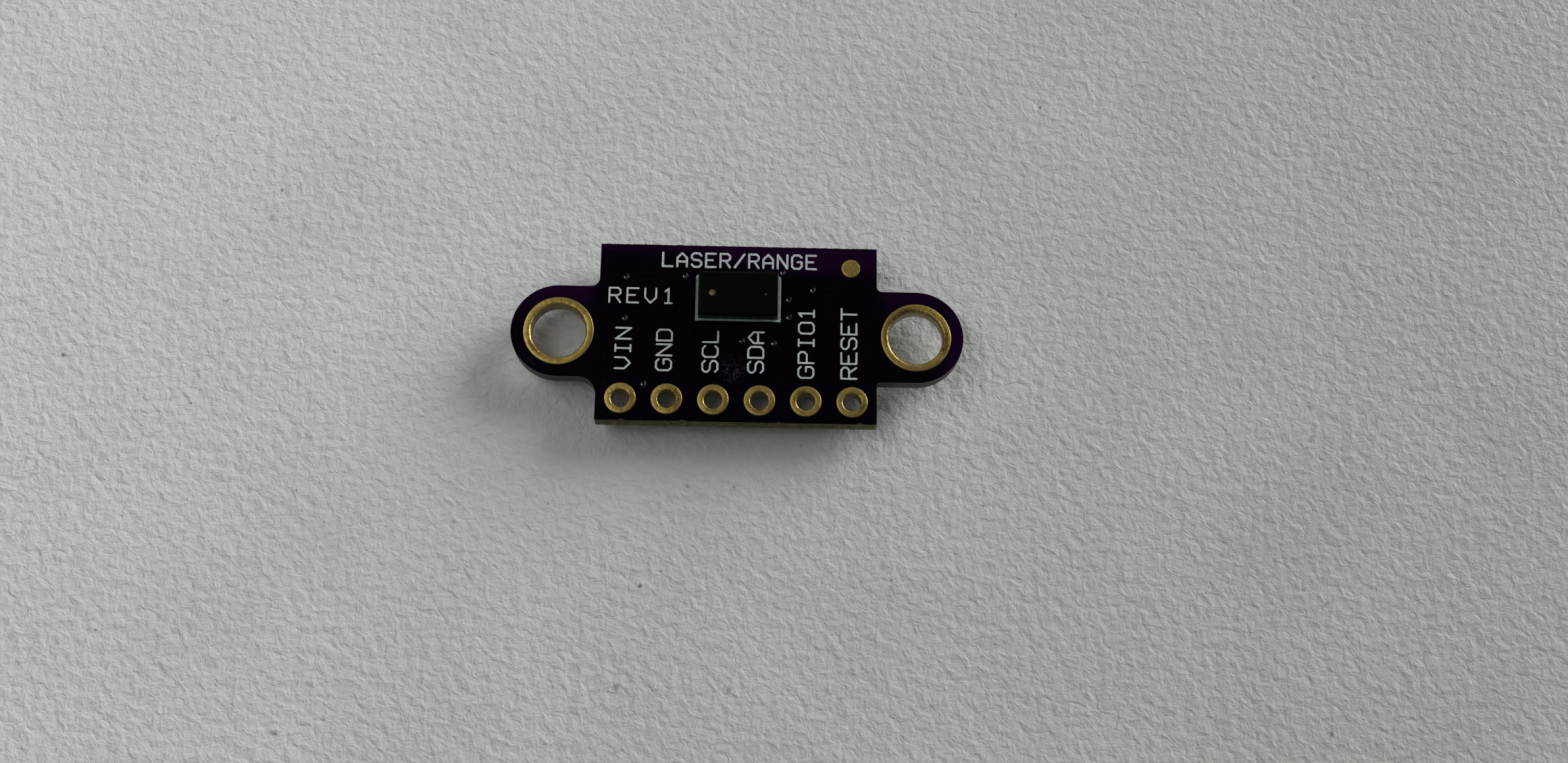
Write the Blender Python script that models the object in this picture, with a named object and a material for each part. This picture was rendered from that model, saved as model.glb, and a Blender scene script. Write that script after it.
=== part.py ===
"""A laser time-of-flight distance sensor module: a small circuit board with two round mounting ears.

The sensor package stands on the front (+Z) face. The regulator, the level shifters and the chip
resistors and capacitors hang under the back face, and the module stands on them at z = 0.
Every length below is in millimetres: the parts hang under one empty that scales them to metres.
The origin is the middle of the board's outline, on the plane that the module stands on.
"""

import math

import bmesh
import bpy
from mathutils import Vector

# ---- Driving dimensions, in millimetres. A pair of fillets is (front, back) ----

METRES_PER_MM = 0.001
FIT_GAP = 0.005

OVERALL_LENGTH = 25.0
BODY_LENGTH = 15.4
BODY_DEPTH = 10.16
BOARD_THICKNESS = 1.0
SNAPPED_WEB = 0.15
SNAPPED_WEB_HALF_HEIGHT = 0.1
SNAPPED_SLOPE_SHARE = 0.7
SNAPPED_SLOPE_HALF_HEIGHT = 0.2
SNAPPED_SHOULDER = 0.06
SNAPPED_ROOT = 0.3
SNAPPED_END_GAP = 0.02
RIGHT_FILLETS = (0.2, 0.3)
LEFT_FILLETS = (1.0, 0.5)
MASK_THICKNESS = 0.03
COPPER_THICKNESS = 0.035
PLANE_INSET = 0.3
PLANE_CLEARANCE = 0.2
MASK_CLEARANCE = 0.02

RING_SPACING = 19.75
RING_ROW_Y = -0.05
RING_DIAMETER = 3.88
RING_HOLE_DIAMETER = 3.0
RING_RIM = 0.16

PIN_COUNT = 6
PIN_PITCH = 2.54
PIN_ROW_Y = -3.83
PIN_PAD_DIAMETER = 1.72
PIN_HOLE_DIAMETER = 1.0
PIN_RIM = 0.06
RIM_DEPTH = 0.05
PLATING_WALL = 0.05
PLATING_BELOW_MASK = 0.008

INDEX_PAD_DIAMETER = 1.05
INDEX_PAD_CENTRE = (6.25, 3.92)

PRINT_THICKNESS = 0.02
PRINT_LINE = 0.18
PRINT_BOX = (4.8, 2.8)

SENSOR_CENTRE = (0.0, 2.03)
SENSOR_SIZE = (4.4, 2.4)
SENSOR_HEIGHT = 1.0
SENSOR_STANDOFF = 0.04
SUBSTRATE_THICKNESS = 0.2
CAP_WALL = 0.2
CAP_ROOF = 0.22
CAP_BARRIER_X = -0.75
CAP_BARRIER = 0.25
CAP_BEVEL = 0.04
EMITTER_X = -1.42
EMITTER_DIE = (0.3, 0.3, 0.16)
EMITTER_OPENING = 0.36
RECEIVER_X = 1.56
RECEIVER_OPENING = 0.32
APERTURE_TAPER = 0.05
RECEIVER_CHIP = (2.3, 1.6, 0.2)
RECEIVER_CHIP_X = 0.8
FILTER_SIZE = (0.9, 1.1, 0.12)
FILTER_SHIFT_X = -0.2
JOINT_SIZE = (0.5, 0.4)
JOINT_COLUMNS = (-1.6, -0.8, 0.0, 0.8, 1.6)
JOINT_ROW_Y = 0.82

STAND_HEIGHT = 1.1
LEAD_PITCH = 0.95
LEAD_WIDTH = 0.4
LEAD_THICKNESS = 0.14
LEAD_FOOT = 0.4
LEAD_SHOULDER = 0.12
SMALL_OUTLINE_LENGTH = 2.9
SMALL_OUTLINE_STANDOFF = 0.08
SMALL_OUTLINE_DRAFT = 0.08
REGULATOR_CENTRE = (0.0, 2.75)
REGULATOR_DEPTH = 1.6
REGULATOR_SPAN = 2.8
SHIFTER_CENTRE = (4.75, -0.75)
SHIFTER_DEPTH = 1.3
SHIFTER_SPAN = 2.4
RESISTOR_SIZE = (1.0, 0.5, 0.36)
RESISTOR_PLACES = ((-2.1, -1.0), (-1.0, -1.0), (1.0, -1.0), (2.1, -1.0), (-6.0, 2.4), (6.0, 2.4))
CAPACITOR_SIZE = (1.6, 0.8, 0.8)
CAPACITOR_PLACES = ((-2.75, 3.0), (-4.15, 3.0), (2.75, 3.0), (4.15, 3.0))
TERMINAL_SHARE = 0.22
TERMINAL_SKIN = 0.02

# How far a cutting shape runs past the face it opens.
CUT_OVERRUN = 0.1

ARC_STEP = math.radians(9)
SHARP_ANGLE = math.radians(40)
RING_SEGMENTS = 32
PIN_SEGMENTS = 20
FUNNEL_SEGMENTS = 16

# ---- Levels that follow from them ----

BACK = STAND_HEIGHT
FRONT = BACK + BOARD_THICKNESS
BACK_COPPER = BACK + MASK_THICKNESS + FIT_GAP
FRONT_COPPER = FRONT - MASK_THICKNESS - FIT_GAP - COPPER_THICKNESS
LAMINATE_BACK = BACK_COPPER + COPPER_THICKNESS + FIT_GAP
LAMINATE_FRONT = FRONT_COPPER - FIT_GAP
MIDDLE = (BACK + FRONT) / 2
RING_X = RING_SPACING / 2
EAR_RADIUS = OVERALL_LENGTH / 2 - RING_X
SUBSTRATE_BOTTOM = FRONT + SENSOR_STANDOFF
SUBSTRATE_TOP = SUBSTRATE_BOTTOM + SUBSTRATE_THICKNESS
CAP_TOP = SUBSTRATE_BOTTOM + SENSOR_HEIGHT

# Colours are linear, each with its roughness and metallic value.
MATERIALS = {
    "laminate": ((0.22, 0.19, 0.09), 0.75, 0.0),
    "copper": ((0.75, 0.32, 0.16), 0.4, 1.0),
    "purple_mask": ((0.016, 0.006, 0.026), 0.22, 0.0),
    "gold_plating": ((0.62, 0.43, 0.16), 0.38, 1.0),
    "print": ((0.55, 0.62, 0.62), 0.6, 0.0),
    "sensor_cap": ((0.006, 0.006, 0.007), 0.4, 0.0),
    "package_resin": ((0.012, 0.012, 0.013), 0.5, 0.0),
    "silicon": ((0.09, 0.09, 0.1), 0.25, 0.6),
    "emitter": ((0.5, 0.33, 0.16), 0.4, 0.5),
    "filter_glass": ((0.10, 0.14, 0.13), 0.1, 0.0),
    "solder": ((0.55, 0.56, 0.57), 0.35, 1.0),
    "capacitor_ceramic": ((0.30, 0.19, 0.11), 0.5, 0.0),
    "resistor_ceramic": ((0.02, 0.02, 0.022), 0.4, 0.0),
}


def clear_scene():
    for old in list(bpy.data.objects):
        bpy.data.objects.remove(old, do_unlink=True)


def material(name):
    """The named material, made the first time it is asked for."""
    found = bpy.data.materials.get(name)
    if found:
        return found
    colour, roughness, metallic = MATERIALS[name]
    made = bpy.data.materials.new(name)
    made.use_nodes = True
    surface = made.node_tree.nodes["Principled BSDF"]
    surface.inputs["Base Color"].default_value = (*colour, 1.0)
    surface.inputs["Roughness"].default_value = roughness
    surface.inputs["Metallic"].default_value = metallic
    made.diffuse_color = (*colour, 1.0)
    return made


def add_object(name, data, look, scale_root, place=(0.0, 0.0, 0.0)):
    """One sub-part: its data, its material and its place under the scaling empty."""
    piece = bpy.data.objects.new(name, data)
    bpy.context.collection.objects.link(piece)
    piece.parent = scale_root
    piece.location = place
    if look:
        data.materials.append(material(look))
    return piece


def mesh_from(bm, name):
    bmesh.ops.recalc_face_normals(bm, faces=bm.faces)
    mesh = bpy.data.meshes.new(name)
    bm.to_mesh(mesh)
    bm.free()
    return mesh


# ---- Outlines ----


def arc(centre, radius, start, end):
    """Points along an arc from start to end, in radians, both ends included."""
    steps = max(2, math.ceil(abs(end - start) / ARC_STEP))
    angles = (start + (end - start) * i / steps for i in range(steps + 1))
    return [(centre[0] + radius * math.cos(a), centre[1] + radius * math.sin(a)) for a in angles]


def circle(centre, radius, segments):
    angles = (2 * math.pi * i / segments for i in range(segments))
    return [(centre[0] + radius * math.cos(a), centre[1] + radius * math.sin(a)) for a in angles]


def rectangle(centre, size):
    half_x, half_y = size[0] / 2, size[1] / 2
    corners = ((-half_x, -half_y), (half_x, -half_y), (half_x, half_y), (-half_x, half_y))
    return [(centre[0] + x, centre[1] + y) for x, y in corners]


def ear_side(inset, fillets):
    """The right half of the outline, front to back, with a hollow fillet at each root of its ear."""
    half_length = BODY_LENGTH / 2 - inset
    half_depth = BODY_DEPTH / 2 - inset
    radius = EAR_RADIUS - inset
    front, back = (fillet + inset for fillet in fillets)
    low = RING_ROW_Y - radius - front
    high = RING_ROW_Y + radius + back
    quarter = math.pi / 2
    points = [(half_length, -half_depth)]
    points += arc((half_length + front, low), front, 2 * quarter, quarter)
    points += arc((RING_X, RING_ROW_Y), radius, -quarter, quarter)
    points += arc((half_length + back, high), back, -quarter, -2 * quarter)
    points.append((half_length, half_depth))
    return points


def board_outline(inset=0.0):
    """The whole outline, counter-clockwise: a rectangle with a round ear at each end."""
    left = [(-x, y) for x, y in reversed(ear_side(inset, LEFT_FILLETS))]
    return ear_side(inset, RIGHT_FILLETS) + left


def drawn_out(bm, vector):
    """Extrudes all the flat faces of bm along a vector, into one closed solid."""
    drawn = bmesh.ops.extrude_face_region(bm, geom=bm.faces[:])
    moved = [item for item in drawn["geom"] if isinstance(item, bmesh.types.BMVert)]
    bmesh.ops.translate(bm, verts=moved, vec=vector)
    return bm


def plate(name, look, outlines, bottom, top, scale_root):
    """A flat sheet: the first outline is its edge and the others are holes through it."""
    bm = bmesh.new()
    edges = []
    for points in outlines:
        verts = [bm.verts.new((x, y, 0.0)) for x, y in points]
        edges += [bm.edges.new((a, b)) for a, b in zip(verts, verts[1:] + verts[:1])]
    bmesh.ops.triangle_fill(bm, use_beauty=True, edges=edges)
    mesh = mesh_from(drawn_out(bm, (0.0, 0.0, top - bottom)), name)
    return add_object(name, mesh, look, scale_root, (0.0, 0.0, bottom))


# ---- Solids ----


def lofted_box(levels):
    """A solid through rectangles stacked along Z. Each level is (z, half_x, half_y)."""
    bm = bmesh.new()
    rings = []
    for z, half_x, half_y in levels:
        corners = ((-half_x, -half_y), (half_x, -half_y), (half_x, half_y), (-half_x, half_y))
        rings.append([bm.verts.new((x, y, z)) for x, y in corners])
    for lower, upper in zip(rings, rings[1:]):
        for i in range(4):
            j = (i + 1) % 4
            bm.faces.new((lower[i], lower[j], upper[j], upper[i]))
    bm.faces.new(reversed(rings[0]))
    bm.faces.new(rings[-1])
    return bm


def box(name, look, centre, size, bottom, scale_root):
    """An upright box, placed by the middle of its base."""
    bm = lofted_box(((0.0, size[0] / 2, size[1] / 2), (size[2], size[0] / 2, size[1] / 2)))
    return add_object(name, mesh_from(bm, name), look, scale_root, (*centre, bottom))


def turned(name, profile, segments):
    """A ring: the closed (radius, z) profile turned once round the Z axis."""
    bm = bmesh.new()
    verts = [bm.verts.new((radius, 0.0, z)) for radius, z in profile]
    edges = [bm.edges.new((a, b)) for a, b in zip(verts, verts[1:] + verts[:1])]
    bmesh.ops.spin(
        bm,
        geom=verts + edges,
        cent=(0.0, 0.0, 0.0),
        axis=(0.0, 0.0, 1.0),
        angle=2 * math.pi,
        steps=segments,
        use_merge=True,
    )
    mesh = mesh_from(bm, name)
    mesh.shade_smooth()
    mesh.set_sharp_from_angle(angle=SHARP_ANGLE)
    return mesh


def plated_hole(name, centre, pad_diameter, hole_diameter, rim, segments, scale_root):
    """A plated hole: a thin barrel through the laminate with a flat ring on each face."""
    hole = hole_diameter / 2
    barrel = hole + PLATING_WALL
    pad = pad_diameter / 2
    low = BACK + PLATING_BELOW_MASK
    high = FRONT - PLATING_BELOW_MASK
    under = LAMINATE_BACK - FIT_GAP
    over = LAMINATE_FRONT + FIT_GAP
    profile = (
        (hole, low + RIM_DEPTH),
        (hole + rim, low),
        (pad, low),
        (pad, under),
        (barrel, under),
        (barrel, over),
        (pad, over),
        (pad, high),
        (hole + rim, high),
        (hole, high - RIM_DEPTH),
    )
    mesh = turned(name, profile, segments)
    return add_object(name, mesh, "gold_plating", scale_root, (*centre, 0.0))


def extruded(profile, width):
    """A (y, z) outline drawn out along X, centred on the YZ plane."""
    bm = bmesh.new()
    bm.faces.new([bm.verts.new((-width / 2, y, z)) for y, z in profile])
    return drawn_out(bm, (width, 0.0, 0.0))


def ribbon(path, thickness):
    """The closed outline of a strip of even thickness round a path of (y, z) points."""
    points = [Vector(point) for point in path]
    left, right = [], []
    for i, point in enumerate(points):
        before = (point - points[i - 1]).normalized() if i else None
        after = (points[i + 1] - point).normalized() if i + 1 < len(points) else None
        along = ((before or after) + (after or before)).normalized()
        normal = Vector((-along.y, along.x))
        stretch = 1.0 / along.dot(before or after)
        left.append(point + normal * thickness / 2 * stretch)
        right.append(point - normal * thickness / 2 * stretch)
    return [tuple(point) for point in left + right[::-1]]


def cut(target, cutter):
    """Takes the cutter's shape out of the target."""
    cutter.hide_render = True
    cutter.display_type = "WIRE"
    modifier = target.modifiers.new(cutter.name, "BOOLEAN")
    modifier.operation = "DIFFERENCE"
    modifier.object = cutter


def unite(target, addition):
    """Adds the helper's shape to the target."""
    addition.hide_render = True
    addition.display_type = "WIRE"
    modifier = target.modifiers.new(addition.name, "BOOLEAN")
    modifier.operation = "UNION"
    modifier.object = addition


# ---- The board ----


def ring_centres():
    return ((-RING_X, RING_ROW_Y), (RING_X, RING_ROW_Y))


def pin_centres():
    first = -PIN_PITCH * (PIN_COUNT - 1) / 2
    return [(first + PIN_PITCH * i, PIN_ROW_Y) for i in range(PIN_COUNT)]


def round_openings(ring_radius, pin_radius):
    """Holes round the plated holes' centres, for a sheet of the board."""
    rings = [circle(centre, ring_radius, RING_SEGMENTS) for centre in ring_centres()]
    pins = [circle(centre, pin_radius, PIN_SEGMENTS) for centre in pin_centres()]
    return rings + pins


def joint_places():
    """The middles of the solder joints under the sensor: two rows of five and one at each end."""
    x, y = SENSOR_CENTRE
    rows = [(x + dx, y + dy) for dy in (-JOINT_ROW_Y, JOINT_ROW_Y) for dx in JOINT_COLUMNS]
    ends = [(x + JOINT_COLUMNS[0], y), (x + JOINT_COLUMNS[-1], y)]
    return rows + ends


def snapped_edge(name, side, scale_root):
    """The rough ledge left where the board was snapped off its panel along a V groove."""
    edge = BODY_DEPTH / 2
    shoulder = LAMINATE_FRONT - MIDDLE - SNAPPED_SHOULDER
    upper = (
        (edge - SNAPPED_ROOT, shoulder),
        (edge + SNAPPED_END_GAP, shoulder),
        (edge + SNAPPED_SLOPE_SHARE * SNAPPED_WEB, SNAPPED_SLOPE_HALF_HEIGHT),
        (edge + SNAPPED_WEB, SNAPPED_WEB_HALF_HEIGHT),
    )
    lower = [(y, -z) for y, z in reversed(upper)]
    profile = [(side * y, z) for y, z in [*upper, *lower]]
    mesh = mesh_from(extruded(profile, BODY_LENGTH - 2 * SNAPPED_END_GAP), name)
    return add_object(name, mesh, None, scale_root, (0.0, 0.0, MIDDLE))


def laminate(scale_root):
    """The woven-glass core: the drilled plate with the snapped ledges along its two long edges."""
    wall = PLATING_WALL + FIT_GAP
    openings = round_openings(RING_HOLE_DIAMETER / 2 + wall, PIN_HOLE_DIAMETER / 2 + wall)
    outlines = [board_outline(), *openings]
    board = plate("board_laminate", "laminate", outlines, LAMINATE_BACK, LAMINATE_FRONT, scale_root)
    unite(board, snapped_edge("front_snapped_edge", -1, scale_root))
    unite(board, snapped_edge("back_snapped_edge", 1, scale_root))


def copper_planes(scale_root):
    openings = round_openings(
        RING_DIAMETER / 2 + PLANE_CLEARANCE, PIN_PAD_DIAMETER / 2 + PLANE_CLEARANCE
    )
    edge = board_outline(PLANE_INSET)
    index = circle(INDEX_PAD_CENTRE, INDEX_PAD_DIAMETER / 2 + PLANE_CLEARANCE, PIN_SEGMENTS)
    window = rectangle(SENSOR_CENTRE, SENSOR_SIZE)
    for name, bottom, outlines in (
        ("back_copper_plane", BACK_COPPER, [edge, *openings]),
        ("front_copper_plane", FRONT_COPPER, [edge, *openings, index, window]),
    ):
        plate(name, "copper", outlines, bottom, bottom + COPPER_THICKNESS, scale_root)


def solder_masks(scale_root):
    openings = round_openings(
        RING_DIAMETER / 2 + MASK_CLEARANCE, PIN_PAD_DIAMETER / 2 + MASK_CLEARANCE
    )
    index = circle(INDEX_PAD_CENTRE, INDEX_PAD_DIAMETER / 2 + MASK_CLEARANCE, PIN_SEGMENTS)
    size = [side + 2 * MASK_CLEARANCE for side in JOINT_SIZE]
    joints = [rectangle(place, size) for place in joint_places()]
    front = [board_outline(), *openings, index, *joints]
    back = [board_outline(), *openings]
    plate("front_solder_mask", "purple_mask", front, FRONT - MASK_THICKNESS, FRONT, scale_root)
    plate("back_solder_mask", "purple_mask", back, BACK, BACK + MASK_THICKNESS, scale_root)


def plated_holes(scale_root):
    for side, centre in zip(("left", "right"), ring_centres()):
        plated_hole(
            f"{side}_mounting_ring",
            centre,
            RING_DIAMETER,
            RING_HOLE_DIAMETER,
            RING_RIM,
            RING_SEGMENTS,
            scale_root,
        )
    for number, centre in enumerate(pin_centres(), 1):
        plated_hole(
            f"header_hole_{number}",
            centre,
            PIN_PAD_DIAMETER,
            PIN_HOLE_DIAMETER,
            PIN_RIM,
            PIN_SEGMENTS,
            scale_root,
        )


def index_pad(scale_root):
    edge = circle(INDEX_PAD_CENTRE, INDEX_PAD_DIAMETER / 2, PIN_SEGMENTS)
    top = FRONT - PLATING_BELOW_MASK
    plate("index_pad", "gold_plating", [edge], FRONT_COPPER, top, scale_root)


def sensor_outline_print(scale_root):
    inner = [side - 2 * PRINT_LINE for side in PRINT_BOX]
    outlines = [rectangle(SENSOR_CENTRE, PRINT_BOX), rectangle(SENSOR_CENTRE, inner)]
    bottom = FRONT + FIT_GAP
    plate("sensor_outline_print", "print", outlines, bottom, bottom + PRINT_THICKNESS, scale_root)


# ---- The sensor package ----


def aperture(name, x, opening, scale_root):
    """A funnel through the cap's roof, wider at its outer face."""
    below = CAP_ROOF + CUT_OVERRUN
    above = CUT_OVERRUN
    slope = APERTURE_TAPER / CAP_ROOF
    bm = bmesh.new()
    bmesh.ops.create_cone(
        bm,
        cap_ends=True,
        segments=FUNNEL_SEGMENTS,
        radius1=opening / 2 - slope * below,
        radius2=opening / 2 + slope * above,
        depth=below + above,
    )
    place = (SENSOR_CENTRE[0] + x, SENSOR_CENTRE[1], CAP_TOP + (above - below) / 2)
    return add_object(name, mesh_from(bm, name), None, scale_root, place)


def cavity(name, low_x, high_x, scale_root):
    """A room inside the cap, between two of its walls and open at the bottom."""
    depth = SENSOR_SIZE[1] - 2 * CAP_WALL
    bottom = SUBSTRATE_TOP - CUT_OVERRUN
    height = CAP_TOP - CAP_ROOF - bottom
    centre = (SENSOR_CENTRE[0] + (low_x + high_x) / 2, SENSOR_CENTRE[1])
    return box(name, None, centre, (high_x - low_x, depth, height), bottom, scale_root)


def sensor_cap(scale_root):
    """The opaque lid: a light wall parts the laser's room from the receiver's."""
    bottom = SUBSTRATE_TOP + FIT_GAP
    half_x, half_y = SENSOR_SIZE[0] / 2, SENSOR_SIZE[1] / 2
    height = CAP_TOP - bottom
    levels = (
        (0.0, half_x, half_y),
        (height - CAP_BEVEL, half_x, half_y),
        (height, half_x - CAP_BEVEL, half_y - CAP_BEVEL),
    )
    mesh = mesh_from(lofted_box(levels), "sensor_cap")
    cap = add_object("sensor_cap", mesh, "sensor_cap", scale_root, (*SENSOR_CENTRE, bottom))
    inner = half_x - CAP_WALL
    half_barrier = CAP_BARRIER / 2
    cut(cap, cavity("laser_room", -inner, CAP_BARRIER_X - half_barrier, scale_root))
    cut(cap, cavity("receiver_room", CAP_BARRIER_X + half_barrier, inner, scale_root))
    cut(cap, aperture("laser_funnel", EMITTER_X, EMITTER_OPENING, scale_root))
    cut(cap, aperture("receiver_funnel", RECEIVER_X, RECEIVER_OPENING, scale_root))


def sensor_package(scale_root):
    x, y = SENSOR_CENTRE
    box(
        "sensor_substrate",
        "package_resin",
        SENSOR_CENTRE,
        (*SENSOR_SIZE, SUBSTRATE_THICKNESS),
        SUBSTRATE_BOTTOM,
        scale_root,
    )
    sensor_cap(scale_root)
    floor = SUBSTRATE_TOP + FIT_GAP
    box("laser_emitter", "emitter", (x + EMITTER_X, y), EMITTER_DIE, floor, scale_root)
    box("receiver_chip", "silicon", (x + RECEIVER_CHIP_X, y), RECEIVER_CHIP, floor, scale_root)
    on_chip = floor + RECEIVER_CHIP[2] + FIT_GAP
    filter_place = (x + RECEIVER_X + FILTER_SHIFT_X, y)
    box("receiver_filter", "filter_glass", filter_place, FILTER_SIZE, on_chip, scale_root)
    joint_height = SUBSTRATE_BOTTOM - FIT_GAP - FRONT_COPPER
    for number, place in enumerate(joint_places(), 1):
        size = (*JOINT_SIZE, joint_height)
        box(f"sensor_joint_{number:02d}", "solder", place, size, FRONT_COPPER, scale_root)


# ---- The parts on the back ----


def package_body(name, centre, depth, scale_root):
    """A moulded small-outline body with drafted sides. It hangs down to z = 0."""
    top = BACK - SMALL_OUTLINE_STANDOFF
    half_x = SMALL_OUTLINE_LENGTH / 2
    half_y = depth / 2
    draft = SMALL_OUTLINE_DRAFT
    levels = (
        (0.0, half_x - draft, half_y - draft),
        (top / 2, half_x, half_y),
        (top, half_x - draft, half_y - draft),
    )
    mesh = mesh_from(lofted_box(levels), name)
    add_object(name, mesh, "package_resin", scale_root, (*centre, 0.0))


def package_lead(name, centre, offset, side, depth, span, scale_root):
    """A gull-wing lead: out of the body at mid height, up the shoulder and along the board."""
    middle = (BACK - SMALL_OUTLINE_STANDOFF) / 2
    pad_level = BACK - FIT_GAP - LEAD_THICKNESS / 2
    start = depth / 2 + FIT_GAP
    path = (
        (start, middle),
        (start + LEAD_SHOULDER, middle),
        (span / 2 - LEAD_FOOT, pad_level),
        (span / 2, pad_level),
    )
    profile = [(side * y, z) for y, z in ribbon(path, LEAD_THICKNESS)]
    mesh = mesh_from(extruded(profile, LEAD_WIDTH), name)
    place = (centre[0] + offset, centre[1], 0.0)
    add_object(name, mesh, "solder", scale_root, place)


def small_outline_package(name, centre, depth, span, leads, scale_root):
    """A body and its leads, each lead given as (offset along X, side)."""
    package_body(f"{name}_body", centre, depth, scale_root)
    for number, (offset, side) in enumerate(leads, 1):
        package_lead(f"{name}_lead_{number}", centre, offset, side, depth, span, scale_root)


def chip_part(name, look, centre, size, scale_root):
    """A chip resistor or capacitor on end along Y: a block with a proud terminal at each end."""
    length, width, height = size
    terminal = length * TERMINAL_SHARE
    half_y = length / 2
    outer = (width / 2, height / 2)
    inner = (width / 2 - TERMINAL_SKIN, height / 2 - TERMINAL_SKIN)
    levels = (
        (-half_y, *outer),
        (terminal - half_y, *outer),
        (terminal - half_y, *inner),
        (half_y - terminal, *inner),
        (half_y - terminal, *outer),
        (half_y, *outer),
    )
    mesh = mesh_from(lofted_box(levels), name)
    place = (*centre, BACK - FIT_GAP - height / 2)
    chip = add_object(name, mesh, look, scale_root, place)
    chip.rotation_euler = (math.pi / 2, 0.0, 0.0)


def back_parts(scale_root):
    pitch = LEAD_PITCH
    regulator_leads = ((-pitch, -1), (0.0, -1), (pitch, -1), (pitch, 1), (-pitch, 1))
    shifter_leads = ((-pitch, -1), (pitch, -1), (0.0, 1))
    small_outline_package(
        "regulator", REGULATOR_CENTRE, REGULATOR_DEPTH, REGULATOR_SPAN, regulator_leads, scale_root
    )
    for side, sign in (("left", -1), ("right", 1)):
        centre = (sign * SHIFTER_CENTRE[0], SHIFTER_CENTRE[1])
        name = f"{side}_level_shifter"
        small_outline_package(name, centre, SHIFTER_DEPTH, SHIFTER_SPAN, shifter_leads, scale_root)
    for number, place in enumerate(RESISTOR_PLACES, 1):
        chip_part(f"resistor_{number}", "resistor_ceramic", place, RESISTOR_SIZE, scale_root)
    for number, place in enumerate(CAPACITOR_PLACES, 1):
        chip_part(f"capacitor_{number}", "capacitor_ceramic", place, CAPACITOR_SIZE, scale_root)


def main():
    clear_scene()
    scale_root = bpy.data.objects.new("millimetres_to_metres", None)
    bpy.context.collection.objects.link(scale_root)
    scale_root.scale = (METRES_PER_MM, METRES_PER_MM, METRES_PER_MM)
    laminate(scale_root)
    copper_planes(scale_root)
    solder_masks(scale_root)
    plated_holes(scale_root)
    index_pad(scale_root)
    sensor_outline_print(scale_root)
    sensor_package(scale_root)
    back_parts(scale_root)


main()
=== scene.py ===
"""The looks of a laser distance sensor board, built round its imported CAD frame.

Lengths are millimetres in the CAD's own frame unless a name says otherwise. Meshes become metres when made.
"""

import math
from functools import partial

import bmesh
import bpy
import numpy as np
from mathutils import Matrix, Vector, noise
from mathutils.geometry import delaunay_2d_cdt


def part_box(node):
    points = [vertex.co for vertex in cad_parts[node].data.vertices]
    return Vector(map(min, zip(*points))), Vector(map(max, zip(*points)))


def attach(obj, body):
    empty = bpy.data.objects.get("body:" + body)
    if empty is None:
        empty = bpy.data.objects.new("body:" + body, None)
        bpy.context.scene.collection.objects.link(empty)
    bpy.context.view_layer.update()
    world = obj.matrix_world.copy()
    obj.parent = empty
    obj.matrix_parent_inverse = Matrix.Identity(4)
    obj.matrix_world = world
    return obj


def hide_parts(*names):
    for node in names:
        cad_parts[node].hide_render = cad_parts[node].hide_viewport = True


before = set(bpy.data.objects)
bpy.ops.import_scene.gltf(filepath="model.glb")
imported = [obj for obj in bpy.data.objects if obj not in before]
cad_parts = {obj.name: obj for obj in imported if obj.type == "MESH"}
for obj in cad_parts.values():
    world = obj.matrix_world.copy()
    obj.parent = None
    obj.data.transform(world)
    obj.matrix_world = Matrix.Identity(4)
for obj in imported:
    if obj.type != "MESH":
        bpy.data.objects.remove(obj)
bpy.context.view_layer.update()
METRES = 0.001


def node_box(node):
    """Lowest and highest corner of a CAD node, in millimetres."""
    low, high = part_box(node)
    return np.array(low) / METRES, np.array(high) / METRES


def node_middle(node):
    """Centre and half size of a CAD node."""
    low, high = node_box(node)
    return (low + high) / 2, (high - low) / 2


# ---- Places and sizes taken from the frame ----

MASK_BOX = node_box("front_solder_mask")
OVERALL_HALF, HALF_DEPTH, FRONT = MASK_BOX[1]
BACK = node_box("back_solder_mask")[0][2]
CORE_BOX = node_box("board_laminate")
LAMINATE_FRONT = node_box("front_copper_plane")[0][2]
LAMINATE_BACK = node_box("back_copper_plane")[1][2]
LAMINATE_MIDDLE = (LAMINATE_FRONT + LAMINATE_BACK) / 2
RINGS = {side: node_middle(f"{side}_mounting_ring")[0] for side in ("left", "right")}
RING_PAD = node_middle("left_mounting_ring")[1][0]
PINS = {number: node_middle(f"header_hole_{number}")[0] for number in range(1, 7)}
PIN_PAD = node_middle("header_hole_1")[1][0]
INDEX = node_middle("index_pad")[0]
INDEX_RADIUS = node_middle("index_pad")[1][0]
CAP_BOX = node_box("sensor_cap")
SENSOR, CAP_HALF = node_middle("sensor_cap")

# ---- Sizes of the board that the frame's boxes don't give ----

BODY_HALF_LENGTH = 7.7
EAR_RADIUS = 2.625
# The hollow fillets at the roots of each ear: front, back.
RIGHT_FILLETS = (0.2, 0.3)
LEFT_FILLETS = (1.0, 0.5)
RING_HOLE = 1.5
PIN_HOLE = 0.5
COPPER_STEP = 0.011
PLANE_INSET = 0.3
MASK_GAP = 0.03

# ---- Node trees ----


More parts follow.
